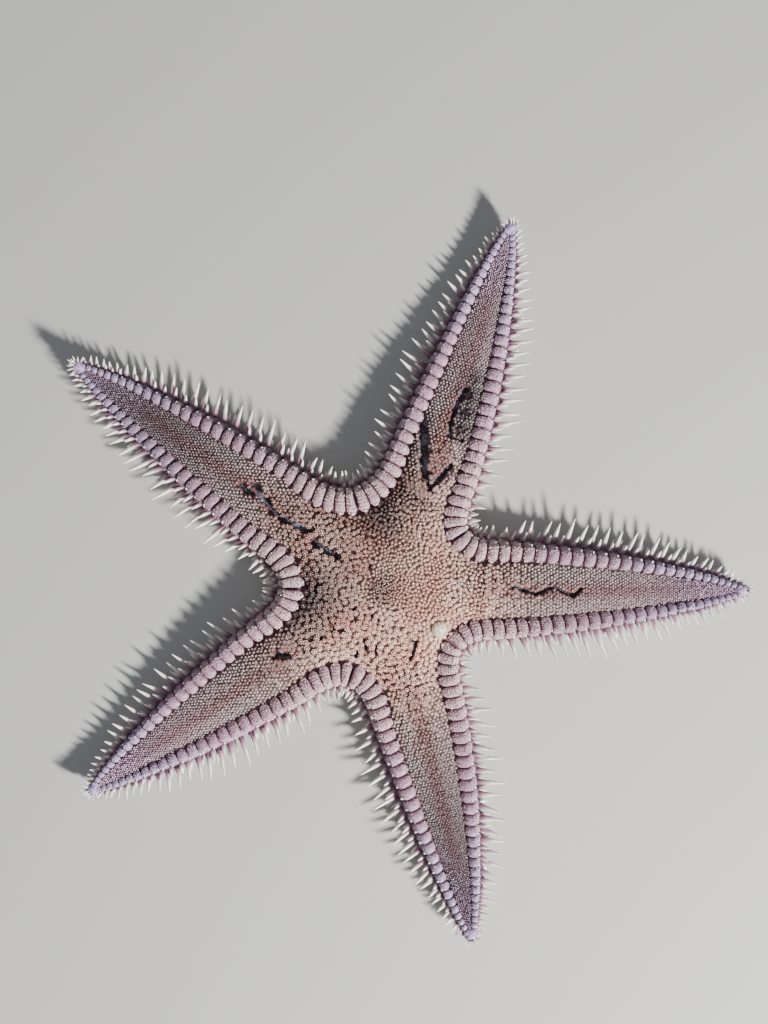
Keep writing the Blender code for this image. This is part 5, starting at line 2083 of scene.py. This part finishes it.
def add_groove_row(heap, arm, side, row, fan, length):
    """One spine on each plate beside a groove; fan says which of its fan, from -1 to 1."""
    offset, height, apart, along, spread, away, up, root = row
    stations = GROOVE_STATIONS[arm]
    places, t, _ = beside_groove(arm, side, stations + fan * apart, offset, height)
    aims = toward(arm, side, along * fan + draw.uniform(-spread, spread, len(t)), away, up)
    short = slim(arm, stations / ARM_LENGTHS[arm], SHORTEST_SPINES)
    add_needles(heap, arm, places, aims, length * short, GROOVE_SPINE_WIDTH, root, IVORY)


def add_groove_spines(heap, arm, side):
    """Fans of three over the groove, then pairs of stubs that lean away from it."""
    for fan in (-1, 0, 1):
        add_groove_row(heap, arm, side, FAN, fan, GROOVE_SPINE_LENGTH * (1 - 0.15 * abs(fan)))
    for fan in (-1, 1):
        add_groove_row(heap, arm, side, STUBS, fan, STUB_LENGTH)


grow_on_arms("groove_spines", add_groove_spines, spine_finish, [INNER])

# %% [markdown]
# Tube feet hang from the roof of each groove in two rows. A sand star's have no suckers: each
# is a soft cone with a point. Its length follows the depth of the groove.

# %% Tube feet
FOOT_PROFILE = ((0, 0), (0.5, 0), (0.43, 0.28), (0.47, 0.5), (0.28, 0.82), (0, 1))
FOOT_SIDES = 7
FOOT_WIDTH = 0.95 * MM
FOOT_ROWS = 0.42
FOOT_CLEARANCE = 0.25 * MM
SHORTEST_FOOT = 0.5 * MM
FEET_STAGGER = 0.35 * MM
ROOT_SINK = 0.1 * MM
AMBER = swatch(214, 178, 138)
foot_finish = finish("tube feet", 0.25, 0.2 * MM, 0.02 * MM, mottle=0.1)
foot = spun_form(FOOT_PROFILE, FOOT_SIDES)


def add_feet(heap, arm, side):
    stations = GROOVE_STATIONS[arm][1:] - (FEET_STAGGER if side > 0 else 0)
    t = stations / ARM_LENGTHS[arm]
    count = len(t)
    away = side * FOOT_ROWS * groove_half(arm, t)
    plan = side_point(arm, 0, stations) + away[:, None] * LEFT[arm]
    roof = skin_under(plan) + ROOT_SINK
    length = np.clip(roof - FOOT_CLEARANCE, SHORTEST_FOOT, None) * draw.uniform(0.75, 1.0, count)
    width = FOOT_WIDTH * slim(arm, t, SHORTEST_SPINES)
    places = np.column_stack((plan, roof + lift(arm, t)))
    aims = toward(arm, side, draw.uniform(-0.25, 0.25, count), draw.uniform(-0.2, 0.15, count), -1.0)
    frames = stood(aims, draw.uniform(0, 6, count), np.column_stack((width, width, length)))
    corners = chart_place(plan, arm, t, "under")
    plant(heap, foot, places, frames, AMBER * 0.75, CREAM, corners)


grow_on_arms("tube_feet", add_feet, foot_finish, [INNER])

# %% [markdown]
# The lower plates are clad with flat scale-like spinelets that point to the margin, like
# shingles. They are granules drawn out long and laid along the surface of the plates.

# %% Scales on the lower plates
SCALES_ACROSS = (-0.72, -0.24, 0.24, 0.72)
SCALES_DOWN = (0.16, 0.30, 0.47, 0.56, 0.65, 0.75, 0.86, 0.97)
SCALE_SIZE = np.array((0.20, 0.20, 0.52)) * MM
SCALE_STAGGER = 0.12
SCALE_DEEP, SCALE_DEEPER = 0.02, 0.4
SCALE_STEP = 0.05
SCALE_TILT = 0.22


def add_scales(heap, arm, side):
    """Scales on one side's lower plates, laid along them with their points outwards."""
    across, down = (grid.ravel() for grid in np.meshgrid(SCALES_ACROSS, SCALES_DOWN))
    odd_row = np.arange(len(across)) // len(SCALES_ACROSS) % 2
    across = across + np.where(odd_row, SCALE_STAGGER, -SCALE_STAGGER)
    deep, deeper = np.full(len(down), SCALE_DEEP), np.full(len(down), SCALE_DEEPER)
    places, _, t = on_plates("lower", arm, side, across, down, deep)
    outer = on_plates("lower", arm, side, across, down - SCALE_STEP, deep)[0]
    inner = on_plates("lower", arm, side, across, down, deeper)[0]
    along, out = (outer - places).reshape(-1, 3), (places - inner).reshape(-1, 3)
    along /= np.linalg.norm(along, axis=1, keepdims=True).clip(1e-9)
    out /= np.linalg.norm(out, axis=1, keepdims=True).clip(1e-9)
    places, t = places.reshape(-1, 3), np.repeat(t, len(down))
    fit = slim(arm, t, 0.3)[:, None] * draw.uniform(0.8, 1.15, (len(t), 1))
    frames = stood(along + SCALE_TILT * out, 0, SCALE_SIZE * fit)
    shade = mixed(mixed(SAND, PALE_MAUVE, 0.5), LAVENDER, smooth(0.3, 0.95, t))
    shade = shade * draw.uniform(0.8, 1.1, (len(t), 1))
    corners = chart_place(places, arm, t, "under")
    corners += draw.uniform(-0.3, 0.3, corners.shape) * PATCH
    points = set_out(pip, places, frames)
    keep = points[:, :, 2].min(1) > FLOOR_ROOM
    # Each scale is painted darker at its root end: painted shade.
    heap.add(pip, points[keep], graded(pip, shade * 0.45, shade)[keep], corners[keep])


grow_on_arms("scales", add_scales, granule_finish, [INNER])

# %% [markdown]
# The mouth lies in the middle of the underside. Five jaws point at it, one for each corner,
# each a pair of narrow blocks with spines at the inner end.

# %% Jaws
JAW_SIZE = np.array((1.9, 0.58, 0.85)) * MM
JAW_OUT = 5.1 * MM
JAW_ASIDE = 0.62 * MM
JAW_HEIGHT = 1.0 * MM
JAW_PATCH = 0.03
# Each spine: how far ahead and aside of its jaw's middle it stands, and its length in mm
JAW_SPINES = ((0.9, 0.0, 1.9), (0.6, -0.5, 1.6), (0.25, -0.6, 1.3), (-0.1, -0.6, 1.1))
JAW_SPINE_WIDTH = 0.5


def add_jaw(heap, corner, side):
    """Half of a jaw: a block with a row of spines at its inner end."""
    line = corner_line(corner)
    beside = np.array((-line[1], line[0])) * side
    place = np.append(CENTRE + line * JAW_OUT + beside * JAW_ASIDE, JAW_HEIGHT)[None]
    axes = np.stack((np.append(-line, 0), np.append(beside, 0), (0, 0, 1.0)), -1)
    corners = np.array([[0.03 + 0.18 * corner, 0.26 + 0.25 * side]])
    # The block is painted darker on its top, which is turned to the body: painted shade.
    tints = graded(block, SAND, SAND * 0.5)
    heap.add(block, set_out(block, place, (axes * JAW_SIZE)[None]), tints, corners, JAW_PATCH)
    for number, (ahead, aside, length) in enumerate(JAW_SPINES):
        root = place + axes @ (np.array((ahead * 0.9, aside * -0.2, -0.35)) * JAW_SIZE)
        aim = (axes @ np.array((0.9, aside * 0.6, -0.12)))[None]
        size = np.array([[JAW_SPINE_WIDTH, JAW_SPINE_WIDTH, length]]) * MM
        spot = corners + (0.04 + 0.01 * number, 0.0)
        plant(heap, needle, root, stood(aim, 0, size), SAND * 0.7, IVORY, spot)


jaws = Heap()
for corner in range(5):
    for side in SIDES:
        add_jaw(jaws, corner, side)
join_heap("jaws", jaws, spine_finish, ["disc"])

# %% [markdown]
# The small areas between the jaws, the grooves and the lower plates are paved with granules,
# set in staggered rows, each moved a little at random.

# %% Granules of the underside
UNDER_GRAIN = 0.30 * MM
UNDER_GRAIN_SHAPE = (1, 1, 2.0)
UNDER_PITCH = 0.72 * MM
UNDER_SPREAD = 36 * MM
UNDER_JITTER = 0.24
PLATE_OVERLAP = 0.1 * MM
JAWS_REACH = 6.8 * MM


def under_places():
    """Places in staggered rows, where the underside is bare."""
    across = np.arange(-UNDER_SPREAD, UNDER_SPREAD, UNDER_PITCH)
    rows = np.arange(-UNDER_SPREAD, UNDER_SPREAD, UNDER_PITCH * ROW_STEP)
    x, y = np.meshgrid(across, rows)
    x = x + (np.arange(len(rows)) % 2)[:, None] * UNDER_PITCH / 2
    jitter = draw.uniform(-UNDER_JITTER, UNDER_JITTER, (x.size, 2)) * MM
    plan = CENTRE + np.column_stack((x.ravel(), y.ravel())) + jitter
    arm, t = arm_and_share(plan)
    depth, aside = to_margin(plan)[0], np.abs(lateral(plan, arm))
    bare = (aside > groove_half(arm, t) + EDGE_PLATE_WIDTH) & (aside < half_width(arm, t))
    bare &= depth > LOWER_REACH - PLATE_OVERLAP
    return plan[bare & (np.hypot(*(plan - CENTRE).T) > JAWS_REACH)]


def add_under_grains(heap, plan):
    count = len(plan)
    places = np.column_stack((plan, np.full(count, UNDER_LEVEL - UNDER_GRAIN)))
    size = UNDER_GRAIN * draw.uniform(0.7, 1.3, (count, 1)) * UNDER_GRAIN_SHAPE
    shade = SAND * draw.uniform(0.7, 1.1, (count, 1))
    corners = (plan - CENTRE) * 20 + 0.5
    # Each granule is painted darker at its root, turned to the body: painted shade.
    plant(heap, bead, places, stood((0, 0, -1), 0, size), shade * 0.35, shade, corners)


granules = Heap()
add_under_grains(granules, under_places())
join_heap("under_granules", granules, granule_finish, ["disc"])

# %% [markdown]
# Between the jaws is a soft lip round the opening. It is spun as a ring with a closed pit in
# its middle, and waves that run round it make the folds of the skin.

# %% Lip of the mouth
LIP_PROFILE = ((0, 3.85), (1.0, 3.85), (2.0, 3.8), (3.0, 3.55), (3.15, 3.1), (2.75, 2.6),
               (2.3, 2.35), (1.9, 2.4), (1.6, 2.6), (1.4, 2.85), (1.1, 3.1), (0.5, 3.2), (0, 3.2))
LIP_SIDES = 60
LIP_FOLDS = 20
LIP_FOLD_DEPTH = 0.10
FOLDS_FROM, FOLDS_FULL = 1.2, 1.8
FOLDS_UNDER = 3.0
PIT_EDGE = (1.3 * MM, 2.2 * MM)


def make_lip():
    mesh = turned(LIP_PROFILE, LIP_SIDES)
    for vertex in mesh.verts:
        x, y, z = vertex.co
        far, turn = math.hypot(x, y), math.atan2(y, x)
        full = float(smooth(FOLDS_FROM, FOLDS_FULL, far)) * (z < FOLDS_UNDER)
        vertex.co.z -= LIP_FOLD_DEPTH * math.sin(LIP_FOLDS * turn) * full
    bmesh.ops.recalc_face_normals(mesh, faces=mesh.faces)
    round_chart(mesh)
    bmesh.ops.scale(mesh, verts=mesh.verts, vec=(MM, MM, MM))
    bmesh.ops.translate(mesh, verts=mesh.verts, vec=(*CENTRE, 0))
    far = np.array([math.hypot(v.co.x - CENTRE[0], v.co.y - CENTRE[1]) for v in mesh.verts])
    # The pit is painted near black: painted shade in the opening of the mouth.
    tints = mixed(UMBER * 0.25, AMBER * 0.8, smooth(*PIT_EDGE, far))
    place_lone("mouth_lip", mesh, tints, foot_finish, ["mouth"])


make_lip()

# %% [markdown]
# The floor is plain and pale, and the light is soft, with its key from the lower right, where
# the sun stood. A broad fill and a pale surround keep the shadows open.

# %% Floor and light
FLOOR_HALF = 1.5


def floor_finish():
    material = bpy.data.materials.new("pale floor")
    material.use_nodes = True
    shader = material.node_tree.nodes["Principled BSDF"]
    shader.inputs["Base Color"].default_value = (0.43, 0.42, 0.40, 1)
    shader.inputs["Roughness"].default_value = 0.8
    return material


def lamp(name, place, size, watts):
    data = bpy.data.lights.new(name, "AREA")
    data.size = size
    data.energy = watts
    thing = in_scene(name, data)
    thing.location = place
    aim = Vector((*CENTRE, 0)) - Vector(place)
    thing.rotation_euler = aim.to_track_quat("-Z", "Y").to_euler()


sheet = bmesh.new()
bmesh.ops.create_grid(sheet, x_segments=1, y_segments=1, size=FLOOR_HALF)
floor_mesh = bpy.data.meshes.new("floor")
sheet.to_mesh(floor_mesh)
sheet.free()
floor_mesh.materials.append(floor_finish())
floor = in_scene("floor", floor_mesh)
lamp("key", (0.52, -0.48, 0.42), 0.08, 26)
lamp("fill", (-0.6, 0.5, 0.8), 0.9, 1.6)
world = bpy.data.worlds.new("soft surround")
bpy.context.scene.world = world
world.use_nodes = True
world.node_tree.nodes["Background"].inputs["Color"].default_value = (0.8, 0.87, 1.0, 1)
world.node_tree.nodes["Background"].inputs["Strength"].default_value = 0.28
